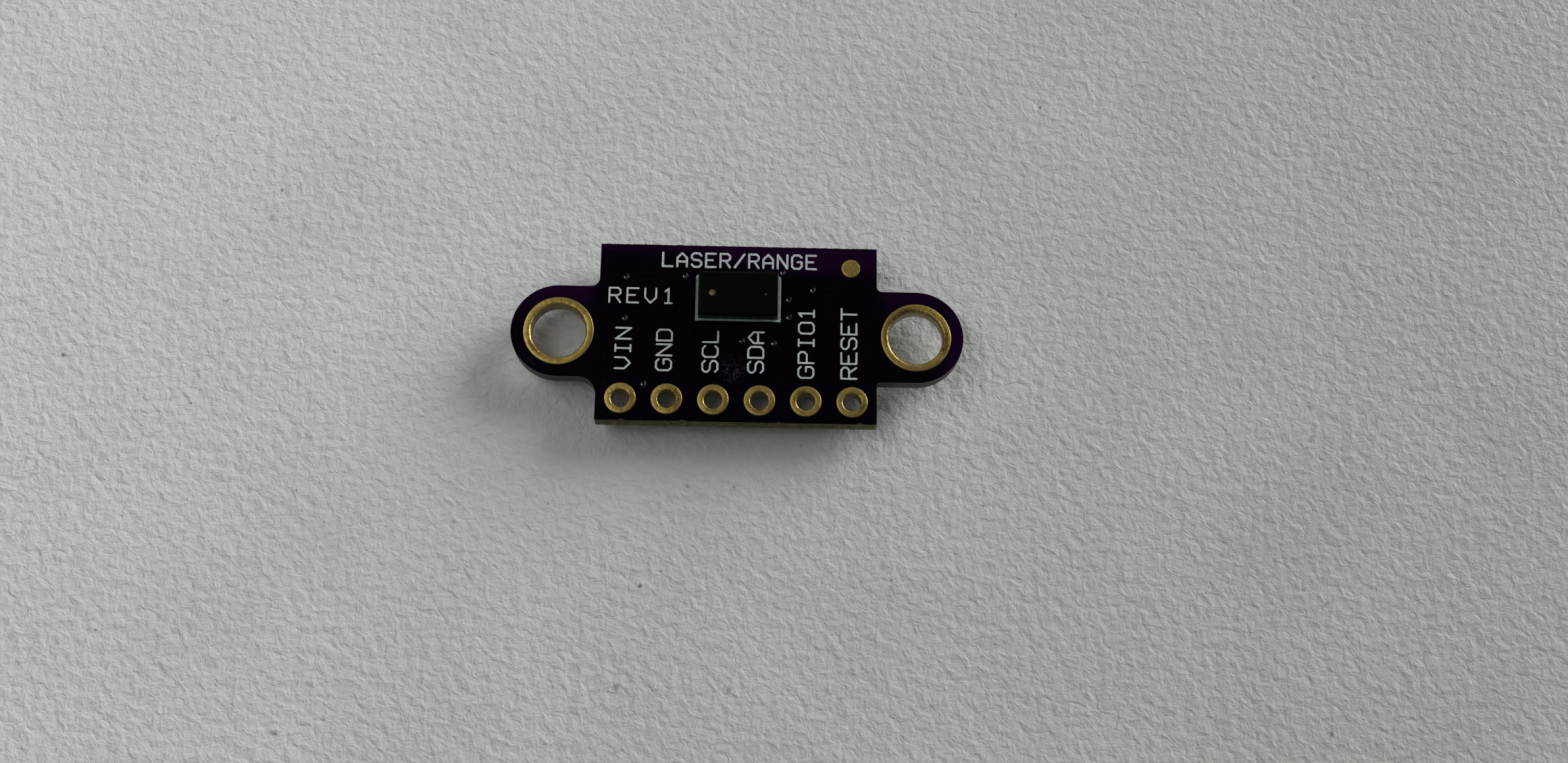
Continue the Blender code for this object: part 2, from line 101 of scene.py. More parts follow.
class Nodes:
    """A node tree, with a short call for each kind of node that any tree here uses."""

    def __init__(self, tree):
        self.tree = tree

    def node(self, kind, inputs=(), **values):
        made = self.tree.nodes.new(kind)
        for name, value in values.items():
            setattr(made, name, value)
        for name, value in dict(inputs).items():
            self.feed(made.inputs[name], value)
        return made

    def feed(self, target, value):
        """Links a socket, or stores a number, a vector or a colour."""
        if isinstance(value, bpy.types.NodeSocket):
            self.tree.links.new(value, target)
        elif isinstance(value, tuple) and target.type == "RGBA":
            target.default_value = (*value, 1.0)
        else:
            target.default_value = value

    def remap(self, value, start, end, low=0.0, high=1.0):
        inputs = {"Value": value, "From Min": start, "From Max": end, "To Min": low, "To Max": high}
        return self.node("ShaderNodeMapRange", inputs).outputs["Result"]

    def math(self, operation, first, second):
        return self.node("ShaderNodeMath", {0: first, 1: second}, operation=operation).outputs[0]


class Shader(Nodes):
    """One material's node tree. Its patterns are laid out in millimetres."""

    def __init__(self, name):
        self.material = bpy.data.materials.new(name)
        self.material.use_nodes = True
        super().__init__(self.material.node_tree)
        self.surface = self.tree.nodes["Principled BSDF"]
        place = self.node("ShaderNodeTexCoord").outputs["Object"]
        inputs = {0: place, "Scale": 1 / METRES}
        self.place = self.node("ShaderNodeVectorMath", inputs, operation="SCALE").outputs[0]

    def stretched(self, stretch):
        return self.node("ShaderNodeMapping", {"Scale": stretch, "Vector": self.place}).outputs[0]

    def noise(self, per_mm, detail=3.0, roughness=0.5, stretch=(1, 1, 1), distortion=0.0):
        inputs = {"Vector": self.stretched(stretch), "Scale": per_mm, "Detail": detail}
        inputs |= {"Roughness": roughness, "Distortion": distortion}
        return self.node("ShaderNodeTexNoise", inputs).outputs[0]

    def cells(self, per_mm):
        """A Voronoi pattern: (distance, colour)."""
        inputs = {"Vector": self.stretched((1, 1, 1)), "Scale": per_mm}
        made = self.node("ShaderNodeTexVoronoi", inputs, feature="F1")
        return made.outputs["Distance"], made.outputs["Color"]

    def between(self, pattern, low, high):
        """The middle of a noise, stretched to run from low to high."""
        return self.remap(pattern, 0.3, 0.7, low, high)

    def mix(self, factor, first, second):
        inputs = {"Factor": factor, 6: first, 7: second}
        return self.node("ShaderNodeMix", inputs, data_type="RGBA").outputs[2]

    def axis(self, name):
        return self.node("ShaderNodeSeparateXYZ", {0: self.place}).outputs[name]

    def near(self, x, y, radius):
        """A value that falls from 1 at a point of the board to 0 at radius from it."""
        flat = self.node("ShaderNodeVectorMath", {0: self.place, 1: (1, 1, 0)}, operation="MULTIPLY")
        gap = self.node("ShaderNodeVectorMath", {0: flat.outputs[0], 1: (x, y, 0)}, operation="DISTANCE")
        return self.remap(gap.outputs["Value"], 0.0, radius, 1.0, 0.0)

    def mark(self):
        """The number that Solid keeps for each point."""
        return self.node("ShaderNodeAttribute", attribute_name="mark").outputs["Fac"]

    def facing(self):
        """0 where the surface faces the viewer and 1 where it is seen edge on."""
        return self.node("ShaderNodeLayerWeight", {"Blend": 0.5}).outputs["Facing"]

    def bump(self, height, depth, normal=None):
        """A normal from a height of 0 to 1, depth millimetres deep."""
        inputs = {"Distance": depth * METRES, "Height": height}
        if normal:
            inputs["Normal"] = normal
        return self.node("ShaderNodeBump", inputs).outputs[0]

    def finish(self, colour, roughness, *bumps, **others):
        """Sets the surface. Bumps are (height, depth), deepest first, and others have _ for each space."""
        inputs = {"Base_Color": colour, "Roughness": roughness} | others
        normal = None
        for bump in bumps:
            normal = inputs["Normal"] = self.bump(*bump, normal)
        for name, value in inputs.items():
            self.feed(self.surface.inputs[name.replace("_", " ")], value)


# ---- Materials ----

# Where lint clings to the mask, as (x, y, radius).
LINT = (-0.2, -2.1, 0.95)
# Each kind of speck on the floor: cells per mm, share of cells left empty, smallest and largest radius.
SPECKS = ((0.34, 0.72, 0.10, 0.22), (0.8, 0.74, 0.05, 0.12))


def purple_mask(s):
    """Glossy purple mask. Face on, its colour is painted nearly black as painted shade, with a dim purple
    sheen painted into the colour near the far edges. At a slant it shows its own purple.
    """
    # The face-on colours, painted nearly black as painted shade, a little lighter over copper.
    dark = s.mix(s.mark(), (0.0010, 0.0006, 0.0022), (0.0016, 0.0006, 0.0036))
    warm = s.mix(s.remap(s.noise(0.35, 2.0), 0.35, 0.7), dark, (0.0022, 0.0006, 0.0040))
    # Painted sheen: the colour is lightened to a dim purple along the far edge, on the tops of the ears and
    # at the right end, where the mask would catch light.
    sheen_band = s.math("SUBTRACT", s.axis("Y"), s.remap(s.axis("X"), -4.0, 4.0, 4.2, 3.1))
    ears = s.math("ABSOLUTE", s.axis("X"), 0.0)
    ear_top_sheen = s.math("MULTIPLY", s.remap(ears, 7.6, 8.6), s.remap(s.axis("Y"), 0.6, 2.6))
    right_end_sheen = s.remap(s.axis("X"), 10.4, 12.4)
    sheen = s.math("MAXIMUM", s.remap(sheen_band, 0.0, 1.1), s.math("MAXIMUM", ear_top_sheen, right_end_sheen))
    face_on_shaded = s.mix(sheen, warm, (0.014, 0.0011, 0.021))
    deep = s.mix(s.mark(), (0.040, 0.006, 0.058), (0.062, 0.009, 0.088))
    # Painted shade: face on, the mask keeps the nearly black colour. Seen at a slant, it turns to its own
    # deep purple.
    colour = s.mix(s.remap(s.facing(), 0.12, 0.65), face_on_shaded, deep)
    threads = s.remap(s.noise(4.0, 6.0, 0.75, distortion=2.0), 0.52, 0.60)
    lint = s.math("MULTIPLY", threads, s.near(*LINT))
    smear = s.noise(1.3, 4.0, stretch=(1.0, 0.5, 1.0), distortion=0.6)
    ripple = s.noise(2.2, 2.0)
    s.finish(
        s.mix(lint, colour, (0.065, 0.050, 0.080)),
        s.remap(smear, 0.3, 0.75, 0.34, 0.46),
        (ripple, 0.006),
        (s.noise(14.0), 0.0006),
        Metallic=s.remap(lint, 0.0, 1.0, 0.55, 0.0),
        Specular_IOR_Level=0.0,
        Coat_Weight=1.0,
        Coat_Roughness=s.remap(smear, 0.4, 0.8, 0.05, 0.14),
        Coat_Normal=s.bump(ripple, 0.004),
    )


def routed_laminate(s):
    """Routed glass-fibre laminate: grey, in layers, with cut fibre ends."""
    layers = s.noise(1.0, 2.0, stretch=(0.5, 0.5, 9.0))
    fibres = s.noise(9.0, stretch=(1.0, 1.0, 3.0))
    base = s.mix(s.remap(layers, 0.35, 0.65), (0.028, 0.027, 0.024), (0.062, 0.060, 0.052))
    colour = s.mix(s.remap(fibres, 0.55, 0.75), base, (0.13, 0.127, 0.11))
    cuts = s.noise(7.0, 2.0, stretch=(1.0, 1.0, 0.25))
    s.finish(colour, s.between(fibres, 0.5, 0.75), (fibres, 0.012), (cuts, 0.02))


def snapped_laminate(s):
    """Laminate where the board was snapped off its panel: olive resin with torn pale fibres."""
    tufts = s.noise(3.5, 4.0, 0.6, stretch=(0.5, 2.0, 2.0))
    threads = s.noise(14.0, stretch=(0.35, 1.0, 2.2))
    base = s.mix(s.remap(tufts, 0.38, 0.66), (0.040, 0.038, 0.010), (0.110, 0.106, 0.028))
    # Paler towards its right end.
    base = s.mix(s.remap(s.axis("X"), 4.0, 8.0, 0.0, 0.6), base, (0.20, 0.185, 0.085))
    s.finish(
        s.mix(s.remap(threads, 0.56, 0.75), base, (0.30, 0.28, 0.11)),
        s.between(threads, 0.55, 0.85),
        (tufts, 0.03),
        (threads, 0.02),
        Subsurface_Weight=0.1,
        Subsurface_Radius=(0.0004, 0.0003, 0.0001),
    )


def gold_plating(s):
    """Immersion gold over nickel: satin and finely grained. It is darker brown in patches on the rounded rim
    of a hole, for scratches and as painted shade where the rim turns down into it.
    """
    grain = s.noise(13.0, 3.0, 0.65)
    cloud = s.noise(1.6)
    colour = s.mix(s.remap(cloud, 0.35, 0.7), (0.455, 0.332, 0.089), (0.335, 0.247, 0.073))
    pits, _ = s.cells(7.0)
    colour = s.mix(s.remap(pits, 0.0, 0.14, 0.6, 0.0), colour, (0.17, 0.09, 0.03))
    # Darker brown patches on the rim: scratches, and painted shade where the rim turns down into the hole.
    scrape_and_shade = s.math("MULTIPLY", s.remap(s.noise(0.55, 2.0), 0.48, 0.62), s.remap(grain, 0.35, 0.5))
    colour = s.mix(s.math("MULTIPLY", scrape_and_shade, s.mark()), colour, (0.12, 0.062, 0.018))
    s.finish(colour, s.between(grain, 0.28, 0.50), (cloud, 0.01), (grain, 0.012), Metallic=1.0)


def barrel_plating(s):
    """The plated wall of a drilled hole: grey-brown, with drill marks round it and bright torn grains."""
    marks = s.noise(6.0, stretch=(1.0, 1.0, 5.0))
    stain = s.noise(3.0, 3.0, 0.6)
    colour = s.mix(s.remap(stain, 0.4, 0.65), (0.42, 0.34, 0.20), (0.23, 0.18, 0.11))
    grains = s.noise(11.0, 2.0, 0.6)
    s.finish(colour, s.between(stain, 0.3, 0.5), (grains, 0.03), (marks, 0.02), Metallic=0.9)


def ink_of(s, thin_colour, full_colour):
    """Pale printed ink: matte, a little thin in places."""
    colour = s.mix(s.remap(s.noise(4.5, 4.0, 0.65), 0.36, 0.6), thin_colour, full_colour)
    s.finish(colour, 0.62, (s.noise(22.0, 2.0), 0.004))


def print_ink(s):
    ink_of(s, (0.36, 0.40, 0.41), (0.52, 0.56, 0.57))


def faint_ink(s):
    """The thinner ink round the sensor."""
    ink_of(s, (0.17, 0.235, 0.215), (0.31, 0.39, 0.365))


def cap_polymer(s):
    """Black moulded polymer of the sensor's lid: fine spark-eroded grain."""
    grain = s.noise(30.0, 3.0, 0.6)
    colour = s.mix(s.noise(1.2, 2.0), (0.0010, 0.0018, 0.0012), (0.0020, 0.0032, 0.0022))
    s.finish(colour, s.between(grain, 0.20, 0.30), (grain, 0.004), Specular_IOR_Level=0.08)


def substrate_board(s):
    """The sensor's own thin substrate: dark green-black laminate with pale fibre ends."""
    fibres = s.noise(12.0, stretch=(1.0, 1.0, 3.0))
    colour = s.mix(s.remap(fibres, 0.5, 0.75), (0.006, 0.009, 0.006), (0.03, 0.035, 0.026))
    s.finish(colour, 0.5, (fibres, 0.006))


def bright_solder(s):
    """Reflowed tin solder: bright, with a faintly crazed skin."""
    skin, _ = s.cells(9.0)
    cloud = s.noise(2.5)
    colour = s.mix(cloud, (0.62, 0.62, 0.62), (0.78, 0.78, 0.77))
    s.finish(colour, s.between(cloud, 0.18, 0.34), (cloud, 0.012), (skin, 0.006), Metallic=1.0)


def tinned_lead(s):
    """Matte tin over copper alloy, with long draw marks."""
    lines = s.noise(10.0, 2.0, stretch=(3.0, 0.5, 0.5))
    colour = s.mix(s.noise(3.0), (0.50, 0.50, 0.49), (0.66, 0.65, 0.63))
    s.finish(colour, s.between(lines, 0.3, 0.45), (lines, 0.004), Metallic=1.0)


def package_resin(s):
    """Black moulding compound: matte, with silica grains just showing."""
    grain = s.noise(22.0, 4.0, 0.65)
    grains, _ = s.cells(16.0)
    colour = s.mix(s.remap(grains, 0.0, 0.22, 0.35, 0.0), (0.012, 0.012, 0.013), (0.06, 0.06, 0.06))
    s.finish(colour, s.between(grain, 0.45, 0.68), (grain, 0.01))


def capacitor_ceramic(s):
    """Fired tan ceramic, speckled."""
    speckle = s.noise(14.0, 3.0, 0.6)
    colour = s.mix(s.remap(speckle, 0.35, 0.7), (0.26, 0.16, 0.09), (0.40, 0.27, 0.17))
    s.finish(colour, s.between(speckle, 0.35, 0.55), (speckle, 0.004))


def resistor_glaze(s):
    """Black overglaze on a chip resistor."""
    wave = s.noise(4.0, 2.0)
    colour = s.mix(wave, (0.010, 0.010, 0.011), (0.022, 0.022, 0.024))
    s.finish(colour, s.between(wave, 0.2, 0.32), (wave, 0.01))


def alumina(s):
    """White sintered alumina."""
    grain = s.noise(18.0)
    colour = s.mix(grain, (0.62, 0.61, 0.57), (0.78, 0.77, 0.73))
    s.finish(colour, 0.55, (grain, 0.005))


def laser_die(s):
    """The laser's die under its diffuser: tan, with a fine metal grid."""
    cells, _ = s.cells(14.0)
    colour = s.mix(s.remap(cells, 0.1, 0.5), (0.29, 0.24, 0.10), (0.16, 0.127, 0.058))
    s.finish(colour, 0.4, (cells, 0.006), Metallic=0.35)


def receiver_silicon(s):
    """Polished silicon with a faint array pattern."""
    cells, _ = s.cells(20.0)
    colour = s.mix(s.remap(cells, 0.1, 0.5), (0.10, 0.10, 0.12), (0.20, 0.20, 0.21))
    s.finish(colour, 0.2, (cells, 0.002), Metallic=0.8)


def filter_glass(s):
    """Infrared filter glass: nearly black, with a hard coated face."""
    film = s.noise(1.5, 2.0)
    colour = s.mix(film, (0.012, 0.022, 0.018), (0.022, 0.020, 0.028))
    s.finish(colour, s.between(film, 0.04, 0.10), Coat_Weight=0.4)


def painted_table(s):
    """The floor: off-white paint with fine orange peel and sparse small specks. It is painted lighter towards
    the left and darker towards the right as painted light, and painted darker in the hollows of its peel as
    painted shade.
    """
    peel = s.noise(1.7, 3.0, 0.55, distortion=0.35)
    fine = s.noise(5.0, 2.0)
    broad = s.remap(s.noise(0.11, 2.0), 0.3, 0.7)
    # Painted light: the floor is painted lighter and cooler towards the left and darker and warmer towards
    # the right, as a light falloff across it.
    painted_lit_left = s.mix(broad, (0.66, 0.69, 0.685), (0.73, 0.76, 0.755))
    warm = s.mix(broad, (0.52, 0.525, 0.495), (0.57, 0.575, 0.545))
    across = s.math("SUBTRACT", s.axis("X"), s.math("MULTIPLY", s.axis("Y"), 0.35))
    base = s.mix(s.remap(across, -45.0, 35.0), painted_lit_left, warm)
    # Painted shade: the hollows of the orange peel, where the bump is lowest, are painted darker.
    base = s.mix(s.remap(peel, 0.28, 0.5, 0.2, 0.0), base, (0.45, 0.455, 0.44))
    for per_mm, chance_from, smallest, largest in SPECKS:
        distance, tint = s.cells(per_mm)
        chance = s.node("ShaderNodeSeparateColor", {0: tint})
        size = s.remap(chance.outputs[0], chance_from, 1.0, smallest * per_mm, largest * per_mm)
        ragged = s.math("MULTIPLY", s.between(fine, 0.4, 1.4), size)
        inside_speck = s.remap(s.math("SUBTRACT", distance, ragged), -0.02, 0.02, 1.0, 0.0)
        present = s.math("GREATER_THAN", chance.outputs[0], chance_from)
        darkness = s.math("MULTIPLY", present, s.remap(chance.outputs[1], 0.0, 1.0, 0.15, 0.8))
        base = s.mix(s.math("MULTIPLY", inside_speck, darkness), base, (0.14, 0.13, 0.12))
    s.finish(base, 0.55, (fine, 0.014), (peel, 0.145), Specular_IOR_Level=0.3)


# ---- Outlines, as arrays of (x, y) ----

ARC_STEP = math.radians(3)


def round_points(centre, radius, angles):
    return np.stack([centre[0] + radius * np.cos(angles), centre[1] + radius * np.sin(angles)], 1)


def arc(centre, radius, start, end):
    steps = max(3, math.ceil(abs(end - start) / ARC_STEP))
    return round_points(centre, radius, np.linspace(start, end, steps + 1))


def circle(centre, radius, segments):
    return round_points(centre, radius, 2 * np.pi * np.arange(segments) / segments)


def quarter_round(radius, steps):
    """A rounded edge from its side up to its face, as (how far in, how far below the face)."""
    angles = [math.pi / 2 * i / steps for i in range(steps + 1)]
    return [(radius * (1 - math.cos(angle)), radius * (1 - math.sin(angle))) for angle in angles]


def rounded_rectangle(centre, half_x, half_y, radius, steps=4):
    """Counter-clockwise, with its corners rounded."""
    points = []
    for sign_x, sign_y, start in ((1, -1, -90), (1, 1, 0), (-1, 1, 90), (-1, -1, 180)):
        corner = (centre[0] + sign_x * (half_x - radius), centre[1] + sign_y * (half_y - radius))
        points.append(round_points(corner, radius, np.radians(start + 90 * np.arange(steps + 1) / steps)))
    return np.concatenate(points)


def board_side(front, back):
    """The right half of the board's edge, front to back, with a hollow fillet at each root of its ear."""
    ring_y = RINGS["right"][1]
    quarter = math.pi / 2
    return np.concatenate([
        [(BODY_HALF_LENGTH, -HALF_DEPTH)],
        arc((BODY_HALF_LENGTH + front, ring_y - EAR_RADIUS - front), front, 2 * quarter, quarter),
        arc((OVERALL_HALF - EAR_RADIUS, ring_y), EAR_RADIUS, -quarter, quarter),
        arc((BODY_HALF_LENGTH + back, ring_y + EAR_RADIUS + back), back, -quarter, -2 * quarter),
        [(BODY_HALF_LENGTH, HALF_DEPTH)],
    ])


def board_outline():
    return np.concatenate([board_side(*RIGHT_FILLETS), board_side(*LEFT_FILLETS)[::-1] * (-1, 1)])


def resampled(loop, step):
    """The same closed outline with no edge longer than step."""
    points = []
    for start, end in zip(loop, np.roll(loop, -1, axis=0)):
        count = max(1, math.ceil(np.linalg.norm(end - start) / step))
        points += [start + (end - start) * i / count for i in range(count)]
    return np.array(points)


def ring_at(loop, z):
    """The outline in space, at one height or at a height for each point."""
    return np.column_stack([loop, np.full(len(loop), z)])


def inside(points, loops):
    """Which points lie inside the first loop and outside the others."""
    odd = np.zeros(len(points), bool)
    x, y = points[:, 0], points[:, 1]
    for loop in loops:
        for (x0, y0), (x1, y1) in zip(loop, np.roll(loop, -1, axis=0)):
            if y0 != y1:
                odd ^= ((y0 > y) != (y1 > y)) & (x < (x1 - x0) * (y - y0) / (y1 - y0) + x0)
    return odd


def distance_to(points, centre):
    return np.hypot(*(points - np.array(centre)).T)


def distance_to_path(points, path):
    """Each point's distance to an open path of straight lines."""
    nearest = np.full(len(points), np.inf)
    for start, end in zip(path[:-1], path[1:]):
        along = np.subtract(end, start)
        share = np.clip((points - start) @ along / (along @ along), 0, 1)
        nearest = np.minimum(nearest, distance_to(points, start + share[:, None] * along))
    return nearest


def distance_to_loop(points, loop):
    return distance_to_path(points, np.concatenate([loop, loop[:1]]))


def smooth(value, low, high):
    """0 below low, 1 above high, and a smooth rise between."""
    t = np.clip((value - low) / (high - low), 0, 1)
    return t * t * (3 - 2 * t)


def wobble(points, size, amplitude, seed=0.0):
    """Smooth noise at each point, up to about amplitude either way, changing over size."""
    full = np.zeros((len(points), 3))
    full[:, : points.shape[1]] = points
    return np.array([noise.noise(Vector(p / size) + Vector((seed, seed, seed))) for p in full]) * amplitude


# ---- Solids ----

WELD = 1e-4
SLIVER = 1e-6
HUB = 0.001
SHARP_ANGLE = math.radians(38)
MATERIALS = {}


def look(maker):
    """The material that a function of the Materials section sets up and gives its name, made once."""
    if maker not in MATERIALS:
        shader = Shader(maker.__name__)
        maker(shader)
        MATERIALS[maker] = shader.material
    return MATERIALS[maker]


def placed(name, data):
    """A new object in the scene."""
    made = bpy.data.objects.new(name, data)
    bpy.context.scene.collection.objects.link(made)
    return made


def twice_area(corners):
    """Twice the area of each triangle, given as three (x, y) corners."""
    across, along = (corners[:, 1] - corners[:, 0]).T, (corners[:, 2] - corners[:, 0]).T
    return np.abs(across[0] * along[1] - across[1] * along[0])


class Solid:
    """Surfaces that share their edges, welded into closed bodies when the piece is made."""

    def __init__(self):
        self.points = []
        self.faces = []
        self.count = 0
        self.marks = []

    def add(self, points, faces, marks=None):
        """Marks are a number for each point, for the material to use."""
        self.points.append(np.asarray(points, float))
        self.faces += [tuple(int(i) + self.count for i in face) for face in faces]
        self.count += len(points)
        self.marks.append(np.zeros(len(points)) if marks is None else marks)

    def sheet(self, loops, height, extra=None, marks=None):
        """A triangulated region, with extra points in it. Height is a number or a function of the points."""
        edges, start = [], 0
        for loop in loops:
            count = len(loop)
            edges += [(start + i, start + (i + 1) % count) for i in range(count)]
            start += count
        flat = np.concatenate([*loops] + ([extra] if extra is not None else []))
        cut = delaunay_2d_cdt([Vector(p) for p in flat], edges, [], 0, 1e-6, False)
        faces = np.array(cut[2])
        faces = faces[(twice_area(flat[faces]) > SLIVER) & inside(flat[faces].mean(axis=1), loops)]
        z = height(flat) if callable(height) else height
        self.add(ring_at(flat, z), faces, marks(flat) if marks else None)

    def walls(self, rings, marks=None):
        """Quads between closed rings of the same number of points."""
        count = len(rings[0])
        faces = []
        for low in range(0, (len(rings) - 1) * count, count):
            for i in range(count):
                j = (i + 1) % count
                faces.append((low + i, low + j, low + count + j, low + count + i))
        self.add(np.concatenate(rings), faces, None if marks is None else np.repeat(marks, count))

    def loft(self, rings):
        """Walls through the rings, closed at both ends."""
        self.walls(rings)
        for end in (rings[0], rings[-1]):
            self.add(end, [range(len(end))])

    def block(self, centre, levels, steps=4):
        """A loft of rounded rectangles. Each level is (z, half_x, half_y, corner radius)."""
        self.loft([ring_at(rounded_rectangle(centre, *sizes, steps), z) for z, *sizes in levels])

    def soft_block(self, centre, half, low, high, bevel, radius, steps=4):
        """A block whose top and bottom edges are rounded too."""
        levels = []
        for inset, rise in quarter_round(bevel, steps):
            levels.append((low + rise, half[0] - inset, half[1] - inset, max(radius - inset, 0.01)))
        mirrored = [(low + high - z, *sizes) for z, *sizes in levels]
        self.block(centre, levels[::-1] + mirrored, steps)

    def turned(self, centre, profile, segments, roughen=None, marked=(0.0, 0.0)):
        """A closed (radius, z) profile turned round the vertical through centre, marked between two radii."""
        rings = []
        for radius, z in profile:
            ring = ring_at(circle(centre, radius, segments), z)
            if roughen:
                ring[:, 2] += roughen(ring, radius)
            rings.append(ring)
        marks = [float(marked[0] < radius < marked[1]) for radius, _ in profile]
        self.walls([*rings, rings[0]], [*marks, marks[0]])

    def disc(self, centre, top, dome, segments):
        """A turned solid with a flat underside. The dome is (radius, how far below the top) down to it."""
        profile = [(HUB, top), *((radius, top - drop) for radius, drop in dome), (HUB, top - dome[-1][1])]
        self.turned(centre, profile, segments)

    def extruded(self, profile, low_x, high_x):
        """A closed (y, z) profile drawn out along X."""
        self.loft([np.array([(x, y, z) for y, z in profile]) for x in (low_x, high_x)])

    def piece(self, name, material, slot, replaces=(), bevel=0.0, sharp=SHARP_ANGLE):
        """The welded mesh, in metres, riding on the board."""
        mesh = bpy.data.meshes.new(name)
        mesh.from_pydata(np.concatenate(self.points).tolist(), [], self.faces)
        layer = mesh.attributes.new("mark", "FLOAT", "POINT")
        layer.data.foreach_set("value", np.concatenate(self.marks).astype(np.float32))
        bm = bmesh.new()
        bm.from_mesh(mesh)
        bmesh.ops.remove_doubles(bm, verts=bm.verts, dist=WELD)
        bmesh.ops.recalc_face_normals(bm, faces=bm.faces)
        bm.to_mesh(mesh)
        bm.free()
        mesh.transform(Matrix.Scale(METRES, 4))
        mesh.shade_smooth()
        mesh.set_sharp_from_angle(angle=sharp)
        mesh.materials.append(look(material))
        made = placed(name, mesh)
        if bevel:
            rounding = made.modifiers.new("bevel", "BEVEL")
            rounding.width = bevel * METRES
            rounding.segments = 2
            rounding.limit_method = "ANGLE"
            rounding.angle_limit = sharp
        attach(made, "root")
        if replaces:
            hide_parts(*replaces)
        return made


# ---- Copper under the mask ----

MASK_SPACING = 0.06
# How far the mask's inner mesh points stay from its edges, in spacings.
MASK_CLEAR = 0.55
STEP_WIDTH = 0.14
TRACK_HALF = 0.11
TRACK_GAP = 0.17
PAD_GAP = 0.24
VIA_LAND = 0.3
VIA_DIMPLE = 0.17
VIA_FLAT = 0.03
VIA_DEPTH = 0.06
# The rings of mesh points round a via, as (radius, points), and the radius that they fill.
VIA_RINGS = ((0.03, 12), (0.06, 18), (0.09, 24), (0.12, 28), (0.15, 30), (0.18, 30))
VIA_CLEAR = 0.22

VIAS = (
    (-6.24, 3.17), (-2.97, 3.29), (2.46, 3.60), (2.81, 2.02), (2.83, 0.99),
    (-6.25, 0.76), (4.14, 2.60), (2.02, -0.54), (0.26, -0.45), (-5.10, -3.01),
)
FRONT_TRACKS = (
    ((-6.35, -3.83), (-7.2, -2.95), (-7.2, -0.2), (-6.25, 0.76)),
    ((-1.27, -3.83), (-2.55, -2.5), (-2.55, 0.5), (-1.6, 1.21)),
    ((1.27, -3.83), (0.1, -2.6), (0.26, -0.45)),
    ((0.26, -0.45), (0.26, 0.5), (0.0, 1.21)),
    ((3.81, -3.83), (2.4, -2.5), (2.02, -0.54)),
    ((2.02, -0.54), (1.2, 0.3), (0.8, 1.21)),
    ((6.35, -3.83), (7.2, -2.95), (7.2, 0.9), (5.5, 2.6), (4.14, 2.60)),
    ((4.14, 2.60), (3.3, 2.6), (2.81, 2.02), (1.6, 2.03)),
    ((1.6, 2.85), (2.0, 3.4), (2.46, 3.60)),
    ((1.6, 1.21), (2.2, 0.95), (2.83, 0.99)),
    ((-1.6, 2.85), (-2.2, 3.29), (-2.97, 3.29)),
    ((-2.97, 3.29), (-5.4, 3.29), (-6.24, 3.17)),
)
BACK_TRACKS = (
    ((-6.35, -3.83), (-7.2, -2.95), (-7.2, 2.6), (-6.24, 3.17), (-4.6, 3.17)),
    ((-0.95, 1.6), (-0.95, 0.6), (-2.1, -0.5)),
    ((0.95, 1.6), (0.95, 0.6), (1.0, -0.5)),
    ((2.1, -1.5), (3.8, -1.8), (3.8, -2.6), (3.81, -3.83)),
    ((-2.1, -1.5), (-2.6, -2.4), (-1.27, -3.83)),
    ((1.0, -1.5), (1.0, -2.4), (1.27, -3.83)),
    ((-5.10, -3.01), (-5.7, -2.4), (-5.7, -1.9)),
    ((5.7, -1.9), (5.7, -2.6), (6.35, -3.83)),
    ((4.75, 0.4), (4.14, 1.2), (4.14, 2.60)),
    ((-4.75, 0.4), (-4.75, 1.4), (-6.0, 1.9)),
)
# Where the copper plane is cut away under a part, as (centre, half size).
FRONT_WINDOWS = [(SENSOR[:2], np.array((2.0, 1.05)))]
WINDOW_MARGIN = 0.22
CHIP_NODES = [f"capacitor_{i}" for i in range(1, 5)] + [f"resistor_{i}" for i in range(1, 7)]
BACK_WINDOWS = [(centre[:2], half[:2] + WINDOW_MARGIN) for centre, half in map(node_middle, CHIP_NODES)]
# Each side's way out, the level of its mask, its tracks and its windows.
LAYERS = {"front": (1, FRONT, FRONT_TRACKS, FRONT_WINDOWS), "back": (-1, BACK, BACK_TRACKS, BACK_WINDOWS)}
PADS = [(centre[:2], RING_PAD) for centre in RINGS.values()]
PADS += [(centre[:2], PIN_PAD) for centre in PINS.values()]


def step_at(value, place):
    """A smooth rise from 0 to 1 over the width of a step in the mask, with its middle at place."""
    return smooth(value, place - STEP_WIDTH / 2, place + STEP_WIDTH / 2)


def copper_cover(points, layer):
    """1 over copper and 0 over bare laminate, with smooth steps between."""
    _, _, tracks, windows = LAYERS[layer]
    plane = step_at(distance_to_loop(points, board_outline()), PLANE_INSET)
    for centre, radius in PADS:
        plane *= step_at(distance_to(points, centre) - radius, PAD_GAP)
    for centre, half in windows:
        plane *= step_at((np.abs(points - centre) - half).max(axis=1), 0.0)
    raised = np.zeros(len(points))
    for path in tracks:
        gap = distance_to_path(points, np.array(path))
        plane *= step_at(gap, TRACK_HALF + TRACK_GAP)
        raised = np.maximum(raised, 1 - step_at(gap, TRACK_HALF))
    for centre in VIAS:
        raised = np.maximum(raised, 1 - step_at(distance_to(points, centre), VIA_LAND))
    return np.maximum(plane, raised)


def dimples(points):
    """How far the mask sags into each small via."""
    sag = np.zeros(len(points))
    for centre in VIAS:
        gap = distance_to(points, centre)
        sag = np.maximum(sag, VIA_DEPTH * (1 - smooth(gap, VIA_FLAT, VIA_DIMPLE)))
    return sag


def mask_height(points, layer):
    """The level of the mask's face: raised over copper, and sunk in each via."""
    side, level = LAYERS[layer][:2]
    return level - side * (COPPER_STEP * (1 - copper_cover(points, layer)) + dimples(points))


